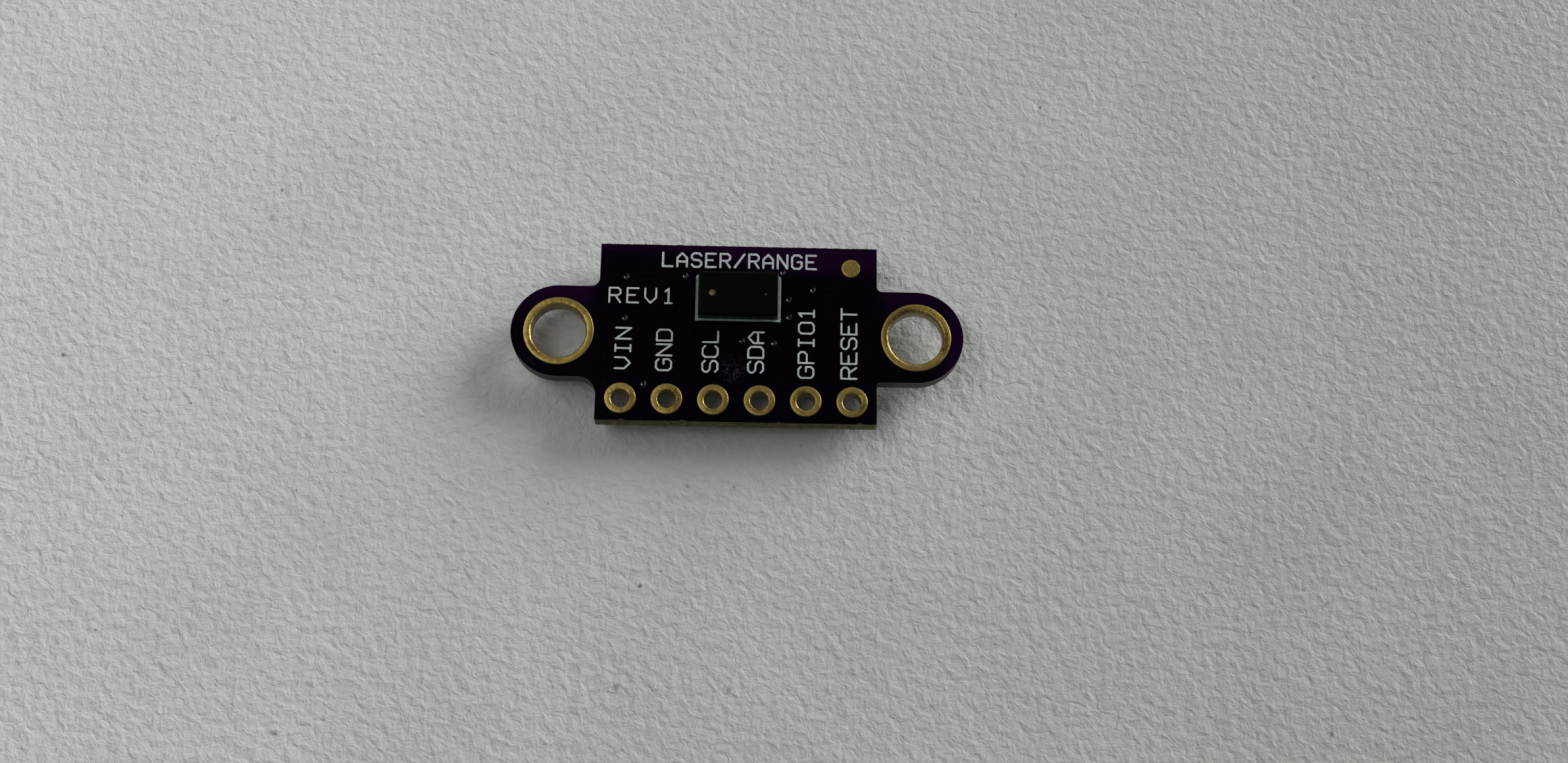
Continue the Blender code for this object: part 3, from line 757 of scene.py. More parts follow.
def mask_points(loops):
    """A triangular lattice inside the loops, with rings of closer points round each via."""
    row = MASK_SPACING * math.sqrt(3) / 2
    low, high = loops[0].min(axis=0), loops[0].max(axis=0)
    rows = np.arange(low[1], high[1], row)
    columns = np.arange(low[0], high[0], MASK_SPACING)
    points = np.array([(x + MASK_SPACING / 2 * (j % 2), y) for j, y in enumerate(rows) for x in columns])
    points = points[inside(points, loops)]
    keep = np.ones(len(points), bool)
    for loop in loops:
        keep &= distance_to_loop(points, loop) > MASK_CLEAR * MASK_SPACING
    for centre in VIAS:
        keep &= distance_to(points, centre) > VIA_CLEAR
    rings = [circle(centre, radius, count) for centre in VIAS for radius, count in VIA_RINGS]
    return np.concatenate([points[keep], *rings, np.array(VIAS)])


RING_SEGMENTS = 128
PIN_SEGMENTS = 72
CHIP_DEPTH = 0.09
# The chips along the front edge, as (x, half width).
CHIPS = ((-6.24, 0.22), (-2.89, 0.26), (2.33, 0.14), (6.8, 0.25))
MASK_DEPTH = 0.06


def chipped(edge):
    """The edge with small chips out of its front side, where the board was snapped off its panel."""
    moved = edge.copy()
    front = edge[:, 1] < -HALF_DEPTH + 0.01
    for x, half in CHIPS:
        moved[front, 1] += CHIP_DEPTH * (1 - smooth(np.abs(edge[front, 0] - x), 0.2 * half, half))
    return moved


def mask_sheet(layer):
    """One side's solder mask, raised over its copper and sagging into its vias."""
    openings = []
    for centre, radius in PADS:
        segments = RING_SEGMENTS if radius > 1 else PIN_SEGMENTS
        openings.append(circle(centre, radius + MASK_GAP, segments))
    if layer == "front":
        openings.append(circle(INDEX[:2], INDEX_RADIUS + MASK_GAP, PIN_SEGMENTS))
    coarse = board_outline()
    edge = chipped(resampled(coarse, MASK_SPACING))
    loops = [edge, *openings]
    extra = mask_points([coarse, *openings])
    extra = extra[(extra[:, 1] > -HALF_DEPTH + 2 * CHIP_DEPTH) | inside(extra, [edge])]
    side, level = LAYERS[layer][:2]
    root = level - side * (COPPER_STEP + MASK_DEPTH)
    solid = Solid()
    solid.sheet(loops, partial(mask_height, layer=layer), extra, partial(copper_cover, layer=layer))
    solid.sheet(loops, root)
    for loop in loops:
        solid.walls([ring_at(loop, root), ring_at(loop, mask_height(loop, layer))])
    nodes = (f"{layer}_solder_mask", f"{layer}_copper_plane")
    solid.piece(f"mask_{layer}", purple_mask, "purple_mask", nodes)


# ---- The laminate ----

CORE_LEVELS = 9
CORE_STEP = 0.12
CORE_WAVE = 0.35
CORE_ROUGHNESS = 0.012
CORE_INSET = 0.004
CORE_BELLY = 0.01
HOLE_GAP = 0.03
LEDGE_STEP = 0.06
LEDGE_END = 0.04
# Across the snapped strip: how far out, as a share of its reach, and how far it is below the surface.
LEDGE_SLOPE = ((-0.15, 0.05), (0.0, 0.03), (0.25, 0.12), (0.45, 0.2))
# Its torn web: how far out, and the height from the middle.
LEDGE_WEB = ((0.7, 0.22), (0.85, 0.16), (0.95, 0.09), (1.0, 0.0))
# How fast the tear changes along X, with height and outwards, the depth of each of its noises, as (how much
# finer, depth), where it starts and is full, as shares of the reach, and how much of it goes upwards.
TEAR_RATES = (3.2, 6.0, 8.0)
TEAR_NOISES = ((1.0, 0.04), (3.1, 0.02))
TEAR_FADE = (0.1, 0.7)
TEAR_LIFT = 0.4


def board_core():
    """The laminate, with routed edges that waver a little from level to level."""
    edge = resampled(board_outline(), CORE_STEP)
    inward = -edge / np.linalg.norm(edge, axis=1)[:, None]
    levels = np.linspace(LAMINATE_BACK, LAMINATE_FRONT, CORE_LEVELS)
    rings = []
    for z in levels:
        depth = np.abs(wobble(ring_at(edge, z), CORE_WAVE, CORE_ROUGHNESS)) + CORE_INSET
        depth += CORE_BELLY * abs(z - LAMINATE_MIDDLE)
        rings.append(ring_at(edge + inward * depth[:, None], z))
    solid = Solid()
    solid.walls(rings)
    holes = [circle(centre[:2], RING_HOLE + HOLE_GAP, 64) for centre in RINGS.values()]
    holes += [circle(centre[:2], PIN_HOLE + HOLE_GAP, 40) for centre in PINS.values()]
    for i in (0, -1):
        solid.sheet([rings[i][:, :2], *holes], levels[i])
    for hole in holes:
        solid.walls([ring_at(hole, levels[i]) for i in (0, -1)])
    solid.piece("board_core", routed_laminate, "laminate", ("board_laminate",))


def snapped_edge(name, side):
    """The torn strip left where the board was snapped off its panel, between two V-groove slopes."""
    reach = CORE_BOX[1][1] - HALF_DEPTH
    half = (LAMINATE_FRONT - LAMINATE_BACK) / 2
    upper = [(share * reach, half - drop) for share, drop in LEDGE_SLOPE]
    upper += [(share * reach, z) for share, z in LEDGE_WEB]
    lower = [(out, -z) for out, z in reversed(upper[:-1])]
    rings = []
    end = BODY_HALF_LENGTH - LEDGE_END
    for x in np.linspace(-end, end, int(2 * end / LEDGE_STEP)):
        ring = []
        for out, z in upper + lower:
            place = Vector((x, z, out)) * Vector(TEAR_RATES) + Vector((0, side, 0))
            torn = sum(noise.noise(place * finer) * depth for finer, depth in TEAR_NOISES)
            torn *= smooth(out / reach, *TEAR_FADE)
            y = HALF_DEPTH + min(out + torn, reach)
            ring.append((x, side * y, LAMINATE_MIDDLE + z + TEAR_LIFT * torn))
        rings.append(np.array(ring))
    solid = Solid()
    solid.loft(rings)
    solid.piece(name, snapped_laminate, "laminate", ("board_laminate",), sharp=math.radians(80))


# ---- Gold ----

RIM_RADIUS = 0.17
PIN_RIM_RADIUS = 0.08
GOLD_BELOW = 0.008
GOLD_DEPTH = 0.05
LAND_EDGE = 0.03
RIM_STEPS = 8
BARREL_STEPS = 7
DENT_SIZE = 0.16
DENT_DEPTH = 0.012
GRAIN_SIZE = 0.075
GRAIN_DEPTH = 0.009
RING_TURN_STEPS = 240
PIN_TURN_STEPS = 96
# How far in from the land's edge the dents rise to their full depth.
DENT_FADE = (0.02, 0.2)
# The band of the rim that is painted darker brown, for scratches and as painted shade where it turns into the
# hole, and where the hole's wall begins, all in rims.
SCRAPED_AND_SHADED = (0.1, 1.1)
WALL_OUT = 0.3
WALL_DOWN = 0.7
# Where the dot's face begins to fall, as (radius, how far below its top), and its rounded edge, as
# (how far in, how far below its top).
DOT_FACE = (0.35, 0.001)
DOT_EDGE = ((0.05, 0.004), (0.015, 0.014), (0.0, 0.035), (0.0, 0.06))


def land_profile(hole, pad, rim, low, high):
    """A plated hole's closed profile: over its rim to the pad's edge, back inside, and down its wall."""
    upper = [(hole + inset, high - drop) for inset, drop in quarter_round(rim, RIM_STEPS)]
    round_off = 0.3 * LAND_EDGE
    upper += [(pad - LAND_EDGE, high), (pad - round_off, high - round_off), (pad, high - LAND_EDGE)]
    upper += [(pad, high - GOLD_DEPTH), (hole + GOLD_DEPTH, high - GOLD_DEPTH)]
    lower = [(radius, low + high - z) for radius, z in reversed(upper)]
    wall = np.linspace(lower[-1][1], upper[0][1], BARREL_STEPS + 1)[1:-1]
    return upper + lower + [(hole, z) for z in wall]


def plated_hole(name, node, centre, hole, pad, rim, segments):
    """A plated hole with a dented land on each face. Its wall has its own material."""

    def dents(ring, radius):
        share = smooth(pad - radius, *DENT_FADE)
        broad = wobble(ring, DENT_SIZE, DENT_DEPTH * share)
        return broad + wobble(ring, GRAIN_SIZE, GRAIN_DEPTH * share, 3.0) - GOLD_BELOW * share

    solid = Solid()
    profile = land_profile(hole, pad, rim, BACK + GOLD_BELOW, FRONT - GOLD_BELOW)
    solid.turned(centre, profile, segments, dents, [hole + share * rim for share in SCRAPED_AND_SHADED])
    made = solid.piece(name, gold_plating, "gold_plating", (node,), sharp=math.radians(60))
    made.data.materials.append(look(barrel_plating))
    for face in made.data.polygons:
        x, y, z = face.center / METRES
        within = math.hypot(x - centre[0], y - centre[1]) < hole + WALL_OUT * rim
        if within and BACK + WALL_DOWN * rim < z < FRONT - WALL_DOWN * rim:
            face.material_index = 1


def index_dot():
    """A bare gold land with a softly domed face."""
    dome = [DOT_FACE, *((INDEX_RADIUS - inset, drop) for inset, drop in DOT_EDGE)]
    solid = Solid()
    solid.disc(INDEX, FRONT - GOLD_BELOW, dome, PIN_SEGMENTS)
    solid.piece("gold_index_dot", gold_plating, "gold_plating", ("index_pad",))


# ---- Print ----

INK_HEIGHT = 0.018
INK_ROOT = 0.02
INK_WAVE = 0.12
INK_RAGGED = 0.012
STROKE_END_STEPS = 5
GLYPH_SIZE = (4, 6)
BOWL = ((4, 5), (3.1, 6), (0.9, 6), (0, 5), (0, 1), (0.9, 0), (3.1, 0), (4, 1))
GLYPHS = {
    "/": (((0, 0), (4, 6)),),
    "1": (((0.9, 4.9), (2, 6), (2, 0)), ((0.8, 0), (3.2, 0))),
    "A": (((0, 0), (0, 3.9), (2, 6), (4, 3.9), (4, 0)), ((0, 2.2), (4, 2.2))),
    "C": (BOWL,),
    "D": (((0, 0), (0, 6), (2.9, 6), (4, 4.9), (4, 1.1), (2.9, 0), (0, 0)),),
    "E": (((4, 0), (0, 0), (0, 6), (4, 6)), ((0, 3.1), (2.8, 3.1))),
    "G": ((*BOWL, (4, 3), (2.3, 3)),),
    "I": (((0.8, 0), (3.2, 0)), ((2, 0), (2, 6)), ((0.8, 6), (3.2, 6))),
    "L": (((0, 6), (0, 0), (4, 0)),),
    "N": (((0, 0), (0, 6), (4, 0), (4, 6)),),
    "O": (((0.9, 0), (3.1, 0), (4, 1), (4, 5), (3.1, 6), (0.9, 6), (0, 5), (0, 1), (0.9, 0)),),
    "P": (((0, 0), (0, 6), (3.1, 6), (4, 5.1), (4, 3.6), (3.1, 2.7), (0, 2.7)),),
    "R": (((0, 0), (0, 6), (3.1, 6), (4, 5.1), (4, 3.8), (3.1, 2.9), (0, 2.9)), ((2.1, 2.9), (4, 0))),
    "S": ((
        (4, 5), (3.1, 6), (0.9, 6), (0, 5.1), (0, 4), (0.9, 3.1),
        (3.1, 2.9), (4, 2), (4, 0.9), (3.1, 0), (0.9, 0), (0, 1),
    ),),
    "T": (((0, 6), (4, 6)), ((2, 6), (2, 0))),
    "V": (((0, 6), (0, 2.2), (2, 0), (4, 2.2), (4, 6)),),
}


def capsule(start, end, half):
    """The outline of a stroke between two points, with round ends."""
    heading = math.atan2(end[1] - start[1], end[0] - start[0])
    turns = math.pi * (np.arange(STROKE_END_STEPS + 1) / STROKE_END_STEPS - 0.5)
    ends = [round_points(end, half, heading + turns), round_points(start, half, heading + math.pi + turns)]
    return np.concatenate(ends)


def lettering(text, centre, pitch, size, upright):
    """The strokes of a line of text, as pairs of end points. Not upright means turned to read upwards."""
    strokes = []
    for place, letter in enumerate(text):
        shift = (place - (len(text) - 1) / 2) * pitch
        for path in GLYPHS[letter]:
            points = (np.array(path) / GLYPH_SIZE - 0.5) * size + (shift, 0)
            if not upright:
                points = points[:, ::-1] * (-1, 1)
            points = points + centre
            strokes += zip(points, points[1:])
    return strokes


def ink(name, strokes, halves, maker=print_ink, replaces=()):
    """Printed strokes merged into one flat shape that follows the mask's steps."""
    points, loops = [], []
    for (start, end), half in zip(strokes, halves):
        outline = capsule(start, end, half)
        loops.append([len(points) + j for j in range(len(outline))])
        points += [Vector(point) for point in outline]
    cut = delaunay_2d_cdt(points, [], loops, 0, 1e-4, True)
    faces = [face for face, sources in zip(cut[2], cut[5]) if sources]
    flat = np.array(cut[0])
    flat = flat + np.column_stack([wobble(flat, INK_WAVE, INK_RAGGED, seed) for seed in (0.0, 7.0)])
    level = mask_height(flat, "front")
    count = len(flat)
    seen = {}
    for face in faces:
        for a, b in zip(face, face[1:] + face[:1]):
            seen.setdefault(frozenset((a, b)), []).append((a, b))
    sides = [ends[0] for ends in seen.values() if len(ends) == 1]
    walls = [(a, b, b + count, a + count) for a, b in sides]
    caps = faces + [tuple(i + count for i in face) for face in faces]
    top, bottom = ring_at(flat, level + INK_HEIGHT), ring_at(flat, level - INK_ROOT)
    solid = Solid()
    solid.add(np.concatenate([top, bottom]), caps + walls)
    solid.piece(name, maker, "print", replaces)


# Each line of text: name, text, centre, letter pitch, letter size, half the stroke's width, upright or not.
# LABEL is the last four of these for the pins.
LABEL = (0.85, (0.63, 0.83), 0.053, False)
LINES = (
    ("ink_title", "LASER/RANGE", (0.03, 4.22), 0.80, (0.53, 0.79), 0.061, True),
    ("ink_revision", "REV1", (-5.35, 2.07), 0.99, (0.61, 0.84), 0.052, True),
    ("ink_pin_1", "VIN", (-6.28, -1.00), *LABEL),
    ("ink_pin_2", "GND", (-4.02, -1.06), *LABEL),
    ("ink_pin_3", "SCL", (-1.48, -1.10), *LABEL),
    ("ink_pin_4", "SDA", (1.03, -1.10), *LABEL),
    ("ink_pin_5", "GPIO1", (3.80, -0.49), *LABEL),
    ("ink_pin_6", "RESET", (6.16, -0.49), *LABEL),
)
# The print round the sensor: half widths of its lines, and how far inside its CAD box they run.
SIDE_HALF = 0.085
FRONT_HALF = 0.06
LOW_INSET = (0.115, 0.12)
HIGH_INSET = (0.105, 0.215)
HOOK = 0.12


def printing():
    for name, text, centre, pitch, size, half, upright in LINES:
        strokes = lettering(text, centre, pitch, size, upright)
        ink(name, strokes, [half] * len(strokes))
    low, high = node_box("sensor_outline_print")
    left, front = low[:2] + LOW_INSET
    right, back = high[:2] - HIGH_INSET
    sides = [((x, front), (x, back)) for x in (left, right)]
    hooks = [((x, back), (x + turn, back + HOOK)) for x, turn in ((left, HOOK), (right, -HOOK))]
    across = [((left, y), (right, y)) for y in (front, back)]
    halves = [SIDE_HALF] * 4 + [FRONT_HALF] * 2
    ink("ink_sensor_outline", sides + hooks + across, halves, faint_ink, ("sensor_outline_print",))


# ---- The sensor ----

CAP_WALL = 0.2
CAP_ROOF = 0.22
CAP_BEVEL = 0.05
CAP_BEVEL_STEPS = 4
CAP_CORNER = 0.06
CAP_BACK_SLOPE = 0.08
# The wall inside the lid between its two rooms, from and to.
BARRIER = (-0.875, -0.625)
ROOM_CORNER = 0.03
# Each opening: its place along X, its radius, and how far down its window sits.
EMITTER = (-1.42, 0.18, 0.09)
RECEIVER = (1.56, 0.12, 0.14)
# The mouth of each opening, as (how much wider, how far below the lid's face).
FUNNEL = ((0.0375, 0.05), (0.045, 0.02), (0.0575, 0.0))
FUNNEL_SEGMENTS = 40
# Each window's dome, as (share of its opening's radius, how far below its top), and then its edge, as
# (how far beyond the opening's radius, how far below its top).
WINDOW_DOME = ((0.4, 0.004), (0.75, 0.014))
WINDOW_EDGE = (0.01, 0.03)
WINDOW_THICKNESS = 0.06


def sensor_lid():
    """The moulded lid: rounded edges, two flared openings, and a wall inside between the two rooms."""
    x, y = SENSOR[:2]
    low, high = CAP_BOX[0][2], CAP_BOX[1][2]
    half_x, half_y = CAP_HALF[:2]
    rings = [ring_at(rounded_rectangle((x, y), half_x, half_y, CAP_CORNER), low)]
    for i, (inset, drop) in enumerate(quarter_round(CAP_BEVEL, CAP_BEVEL_STEPS)):
        slope = CAP_BACK_SLOPE * i / CAP_BEVEL_STEPS / 2
        outline = rounded_rectangle((x, y - slope), half_x - inset, half_y - inset - slope, CAP_CORNER)
        rings.append(ring_at(outline, high - drop))
    solid = Solid()
    solid.walls(rings)
    ceiling = high - CAP_ROOF
    inner_x, inner_y = half_x - CAP_WALL, half_y - CAP_WALL
    mouths, floors = [], []
    rooms = ((-inner_x, BARRIER[0], EMITTER), (BARRIER[1], inner_x, RECEIVER))
    for left, right, (funnel_x, opening, _) in rooms:
        room = rounded_rectangle((x + (left + right) / 2, y), (right - left) / 2, inner_y, ROOM_CORNER)
        throat = circle((x + funnel_x, y), opening, FUNNEL_SEGMENTS)
        funnel = [ring_at(throat, ceiling)]
        for wider, drop in FUNNEL:
            funnel.append(ring_at(circle((x + funnel_x, y), opening + wider, FUNNEL_SEGMENTS), high - drop))
        solid.walls(funnel)
        solid.walls([ring_at(room, low), ring_at(room, ceiling)])
        solid.sheet([room, throat], ceiling)
        mouths.append(funnel[-1][:, :2])
        floors.append(room)
    solid.sheet([rings[-1][:, :2], *mouths], high)
    solid.sheet([rings[0][:, :2], *floors], low)
    solid.piece("sensor_lid", cap_polymer, "sensor_cap", ("sensor_cap",))


def soft_piece(name, material, slot, node, bevel, radius):
    """A CAD box made again with rounded edges and corners."""
    low, high = node_box(node)
    centre, half = node_middle(node)
    solid = Solid()
    solid.soft_block(centre[:2], half[:2], low[2], high[2], bevel, radius)
    solid.piece(name, material, slot, (node,))


def opening_window(name, shift, radius, drop, material, slot):
    """The little domed window that closes one of the lid's openings, a short way down it."""
    edge = radius + WINDOW_EDGE[0]
    dome = [(share * radius, depth) for share, depth in WINDOW_DOME]
    dome += [(edge, WINDOW_EDGE[1]), (edge, WINDOW_THICKNESS)]
    solid = Solid()
    solid.disc((SENSOR[0] + shift, SENSOR[1]), CAP_BOX[1][2] - drop, dome, FUNNEL_SEGMENTS)
    solid.piece(name, material, slot)


SKIRT_LEVELS = 6
SKIRT_HOLLOW = 2.2
SKIRT_CORNER = 0.35
SENSOR_JOINT_CROWN = 0.8


def skirt(solid, centre, foot, crown, foot_z, crown_z):
    """A solder fillet: wide at the pad, drawn in to the part in a hollow curve."""
    levels = []
    for t in np.arange(SKIRT_LEVELS + 1) / SKIRT_LEVELS:
        x, y = (top + (bottom - top) * (1 - t) ** SKIRT_HOLLOW for bottom, top in zip(foot, crown))
        levels.append((foot_z + (crown_z - foot_z) * t, x, y, min(x, y) * SKIRT_CORNER))
    solid.block(centre, levels)


def sensor_joints():
    """Solder under the sensor's edge, welling out a little past it."""
    solid = Solid()
    nodes = [f"sensor_joint_{number:02d}" for number in range(1, 13)]
    for node in nodes:
        low, high = node_box(node)
        centre, half = node_middle(node)
        skirt(solid, centre[:2], half[:2], half[:2] * SENSOR_JOINT_CROWN, low[2], high[2])
    solid.piece("sensor_solder", bright_solder, "solder", nodes)


def sensor():
    soft_piece("sensor_base", substrate_board, "package_resin", "sensor_substrate", 0.015, 0.03)
    soft_piece("die_laser", laser_die, "emitter", "laser_emitter", 0.01, 0.02)
    soft_piece("die_receiver", receiver_silicon, "silicon", "receiver_chip", 0.01, 0.02)
    soft_piece("glass_filter", filter_glass, "filter_glass", "receiver_filter", 0.01, 0.02)
    opening_window("emitter_window", *EMITTER, laser_die, "emitter")
    opening_window("receiver_window", *RECEIVER, filter_glass, "filter_glass")
    sensor_lid()
    sensor_joints()


# ---- The parts on the back ----

BODY_DRAFT = 0.07
BODY_CORNER = 0.05
# A moulded body's rounded edge, as (how far from its face, how far in).
BODY_EDGE = ((0.0, 0.05), (0.015, 0.02), (0.05, 0.0))
PARTING_HALF = 0.012
LEAD_THICKNESS = 0.14
LEAD_BEVEL = 0.018
LEAD_BEND = 0.11
LEAD_IN_BODY = 0.08
LEAD_SHOULDER = 0.14
LEAD_FOOT = 0.38
# A lead's solder: how far its middle is from the toe, its margins beside the lead at the pad and at the
# crown, its half lengths at both, and how far the crown stands off the board.
JOINT_BACK = 0.17
JOINT_MARGINS = (0.12, 0.01)
JOINT_HALVES = (0.32, 0.2)
JOINT_CROWN = 0.11
TERMINAL_SHARE = 0.22
SKIN = 0.02
GLAZE_DEPTH = 0.06
GLAZE_GAP = 0.01
# Bevel and corner radius of each part of a chip.
CERAMIC_EDGE = (0.02, 0.03)
GLAZE_EDGE = (0.02, 0.04)
TERMINAL_EDGE = (0.03, 0.05)
# A chip's solder: its spread beside and beyond each end, and its climb, as a share and at most.
CHIP_SPREAD = (0.08, 0.2)
CHIP_CLIMB = (0.6, 0.35)


def package_body(name, node):
    """A moulded body: drafted sides and a parting line."""
    low, high = node_box(node)
    centre, half = node_middle(node)
    part = PARTING_HALF
    levels = [(low[2] + rise, BODY_DRAFT + inset) for rise, inset in BODY_EDGE]
    below, above = centre[2] - part, centre[2] + part
    levels += [(below, part), (below, 0.0), (above, 0.0), (above, part)]
    levels += [(high[2] - drop, BODY_DRAFT + inset) for drop, inset in reversed(BODY_EDGE)]
    solid = Solid()
    solid.block(centre[:2], [(z, half[0] - inset, half[1] - inset, BODY_CORNER) for z, inset in levels])
    solid.piece(name, package_resin, "package_resin", (node,))


def rounded_path(path, radius, steps=4):
    """An open path with its inner corners rounded."""
    path = np.array(path)
    points = [path[0]]
    for before, corner, after in zip(path, path[1:], path[2:]):
        start, end = (corner + (p - corner) / np.linalg.norm(p - corner) * radius for p in (before, after))
        for t in np.arange(steps + 1) / steps:
            points.append((1 - t) ** 2 * start + 2 * t * (1 - t) * corner + t * t * end)
    return [*points, path[-1]]


def ribbon(path, thickness):
    """The closed outline of a strip of even thickness round a path."""
    left, right = [], []
    for i, point in enumerate(path):
        ahead = path[min(i + 1, len(path) - 1)] - path[max(i - 1, 0)]
        normal = np.array((-ahead[1], ahead[0])) / np.linalg.norm(ahead)
        left.append(point + normal * thickness / 2)
        right.append(point - normal * thickness / 2)
    return left + right[::-1]


def package_leads(name, nodes, body_node):
    """Gull-wing leads with rounded bends, each on its own solder fillet."""
    body, _ = node_middle(body_node)
    leads, joints = Solid(), Solid()
    for node in nodes:
        low, high = node_box(node)
        centre, half = node_middle(node)
        side = math.copysign(1.0, centre[1] - body[1])
        near, far = (low[1], high[1]) if side > 0 else (high[1], low[1])
        pad_z = high[2] - LEAD_THICKNESS / 2
        out_z = low[2] + LEAD_THICKNESS / 2
        path = (
            (near - side * LEAD_IN_BODY, out_z),
            (near + side * LEAD_SHOULDER, out_z),
            (far - side * LEAD_FOOT, pad_z),
            (far, pad_z),
        )
        leads.extruded(ribbon(rounded_path(path, LEAD_BEND), LEAD_THICKNESS), low[0], high[0])
        foot, crown = ((half[0] + margin, along) for margin, along in zip(JOINT_MARGINS, JOINT_HALVES))
        skirt(joints, (centre[0], far - side * JOINT_BACK), foot, crown, BACK, high[2] - JOINT_CROWN)
    leads.piece(f"{name}_leads", tinned_lead, "solder", nodes, bevel=LEAD_BEVEL)
    joints.piece(f"{name}_solder", bright_solder, "solder")


def chip_body(name, material, slot, node, glaze=False):
    """A chip part: its ceramic, its two rounded metal ends and the solder under them."""
    low, high = node_box(node)
    centre, half = node_middle(node)
    end = 2 * half[1] * TERMINAL_SHARE
    ceramic = Solid()
    ceramic.soft_block(centre[:2], half[:2] - SKIN, low[2] + SKIN, high[2] - SKIN, *CERAMIC_EDGE)
    ceramic.piece(f"{name}_ceramic", material, slot, (node,))
    if glaze:
        cover = Solid()
        size = (half[0] - SKIN, half[1] - end - GLAZE_GAP)
        cover.soft_block(centre[:2], size, low[2], low[2] + GLAZE_DEPTH, *GLAZE_EDGE)
        cover.piece(f"{name}_glaze", resistor_glaze, slot)
    ends, solder = Solid(), Solid()
    climb = min(CHIP_CLIMB[0] * (high[2] - low[2]), CHIP_CLIMB[1])
    foot = (half[0] + CHIP_SPREAD[0], end / 2 + CHIP_SPREAD[1])
    crown = (half[0] - SKIN, end / 2)
    for side in (-1, 1):
        middle = (centre[0], centre[1] + side * (half[1] - end / 2))
        ends.soft_block(middle, (half[0], end / 2), low[2], high[2], *TERMINAL_EDGE)
        skirt(solder, (centre[0], centre[1] + side * (half[1] - SKIN)), foot, crown, BACK, BACK - climb)
    ends.piece(f"{name}_ends", tinned_lead, "solder")
    solder.piece(f"{name}_solder", bright_solder, "solder")


def back_parts():
    package_body("regulator_package", "regulator_body")
    package_leads("regulator", [f"regulator_lead_{i}" for i in range(1, 6)], "regulator_body")
    for side in ("left", "right"):
        body = f"{side}_level_shifter_body"
        package_body(f"{side}_shifter_package", body)
        package_leads(f"{side}_shifter", [f"{side}_level_shifter_lead_{i}" for i in range(1, 4)], body)
    for i in range(1, 7):
        chip_body(f"chip_resistor_{i}", alumina, "resistor_ceramic", f"resistor_{i}", glaze=True)
    for i in range(1, 5):
        chip_body(f"chip_capacitor_{i}", capacitor_ceramic, "capacitor_ceramic", f"capacitor_{i}")


# ---- The board ----


def board():
    board_core()
    snapped_edge("snapped_edge_front", -1)
    snapped_edge("snapped_edge_back", 1)
    mask_sheet("front")
    mask_sheet("back")
    ring = (RING_HOLE, RING_PAD, RIM_RADIUS, RING_TURN_STEPS)
    for side, centre in RINGS.items():
        plated_hole(f"gold_ring_{side}", f"{side}_mounting_ring", centre, *ring)
    pin = (PIN_HOLE, PIN_PAD, PIN_RIM_RADIUS, PIN_TURN_STEPS)
    for number, centre in PINS.items():
        plated_hole(f"gold_pin_hole_{number}", f"header_hole_{number}", centre, *pin)
    index_dot()
    printing()


# ---- Floor, light and camera ----

FLOOR_HALF = 1500.0
# Each light: kind, azimuth, elevation, distance, energy and its other settings.
LIGHTS = {
    "key_light": ("SUN", 55.0, 18.0, 0.0, 2.9, {"angle": math.radians(36.0)}),
    "top_light": ("AREA", -95.0, 65.0, 400.0, 0.21, {"shape": "DISK", "size": 200.0 * METRES}),
    "fill_light": ("AREA", -60.0, 48.0, 150.0, 0.02, {"shape": "DISK", "size": 60.0 * METRES}),
}
BACKDROP = (0.60, 0.615, 0.605)
BACKDROP_STRENGTH = 0.66
# The room's light by a direction's height and by its depth, each as (from, to, light at from, light at to).
AMBIENT_BY_HEIGHT = (0.70, 0.88, 0.27, 0.01)
AMBIENT_BY_DEPTH = (-0.7, 0.5, 0.6, 1.25)

CAMERA_TARGET = (2.607, -2.731, 2.1)
CAMERA_DISTANCE = 105.06
CAMERA_AZIMUTH = 3.93
CAMERA_ELEVATION = 73.62
CAMERA_ROLL = 4.92
CAMERA_LENS = 43.99
SENSOR_WIDTH = 36.0
CLIP_METRES = (0.005, 10.0)


def floor():
    corners = [(x * FLOOR_HALF, y * FLOOR_HALF, 0) for x, y in ((-1, -1), (1, -1), (1, 1), (-1, 1))]
    mesh = bpy.data.meshes.new("floor")
    mesh.from_pydata(corners, [], [(0, 1, 2, 3)])
    mesh.transform(Matrix.Scale(METRES, 4))
    mesh.materials.append(look(painted_table))
    placed("floor", mesh)


def outwards(azimuth, elevation):
    """The direction from the object at an azimuth from +Y towards +X and an elevation, in degrees."""
    a, e = math.radians(azimuth), math.radians(elevation)
    return Vector((math.sin(a) * math.cos(e), math.cos(a) * math.cos(e), math.sin(e)))


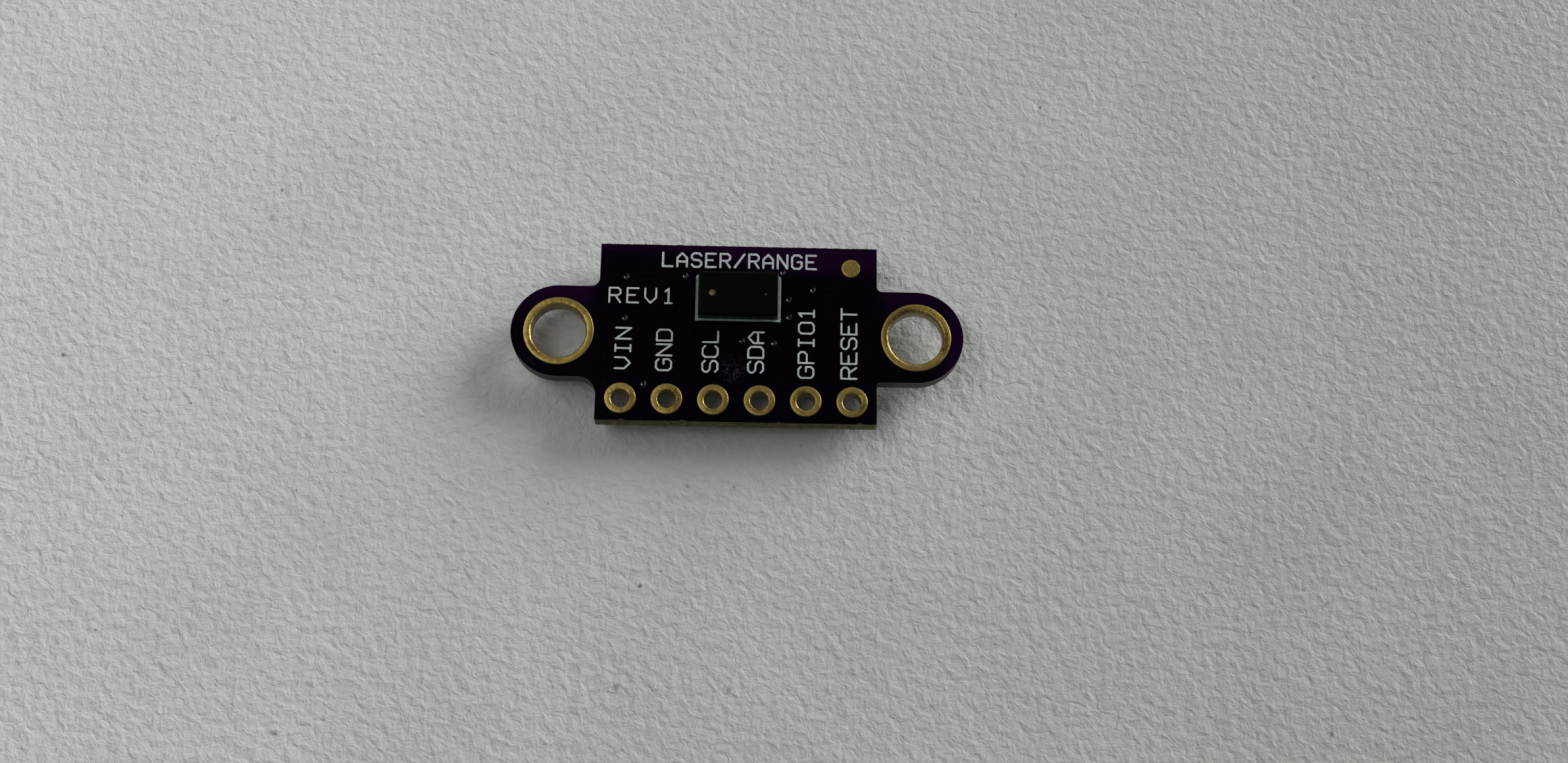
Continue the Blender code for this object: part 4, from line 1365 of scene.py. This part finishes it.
def light(name, kind, azimuth, elevation, distance, energy, settings):
    """A light turned to the object. A sun falls evenly on the whole floor, however far it stands."""
    data = bpy.data.lights.new(name, kind)
    data.energy = energy
    for key, value in settings.items():
        setattr(data, key, value)
    made = placed(name, data)
    direction = outwards(azimuth, elevation)
    made.location = direction * distance * METRES
    made.rotation_euler = (-direction).to_track_quat("-Z", "Y").to_euler()


def surroundings():
    """A pale backdrop for the camera, and a dim room for everything else."""
    world = bpy.data.worlds.new("studio")
    bpy.context.scene.world = world
    world.use_nodes = True
    s = Nodes(world.node_tree)
    place = s.node("ShaderNodeTexCoord").outputs["Generated"]
    split = s.node("ShaderNodeSeparateXYZ", {0: place}).outputs
    by_height = s.remap(split["Z"], *AMBIENT_BY_HEIGHT)
    by_depth = s.remap(split["Y"], *AMBIENT_BY_DEPTH)
    room = s.tree.nodes["Background"]
    s.feed(room.inputs["Color"], (1.0, 1.0, 1.0))
    s.feed(room.inputs["Strength"], s.math("MULTIPLY", by_height, by_depth))
    backdrop = s.node("ShaderNodeBackground", {"Color": BACKDROP, "Strength": BACKDROP_STRENGTH})
    seen = s.node("ShaderNodeLightPath").outputs["Is Camera Ray"]
    mixed = s.node("ShaderNodeMixShader", {0: seen, 1: room.outputs[0], 2: backdrop.outputs[0]})
    s.feed(s.tree.nodes["World Output"].inputs["Surface"], mixed.outputs[0])


def camera():
    data = bpy.data.cameras.new("camera")
    data.sensor_width = SENSOR_WIDTH
    data.lens = CAMERA_LENS
    data.clip_start, data.clip_end = CLIP_METRES
    made = placed("camera", data)
    ahead = outwards(CAMERA_AZIMUTH, -CAMERA_ELEVATION)
    aim = ahead.to_track_quat("-Z", "Y").to_matrix().to_4x4()
    roll = Matrix.Rotation(math.radians(CAMERA_ROLL), 4, "Z")
    place = Vector(CAMERA_TARGET) - ahead * CAMERA_DISTANCE
    made.matrix_world = Matrix.Translation(place * METRES) @ aim @ roll
    bpy.context.scene.camera = made


def main():
    board()
    sensor()
    back_parts()
    floor()
    for name, settings in LIGHTS.items():
        light(name, *settings)
    surroundings()
    camera()
    bpy.context.scene.view_settings.view_transform = "Standard"


main()
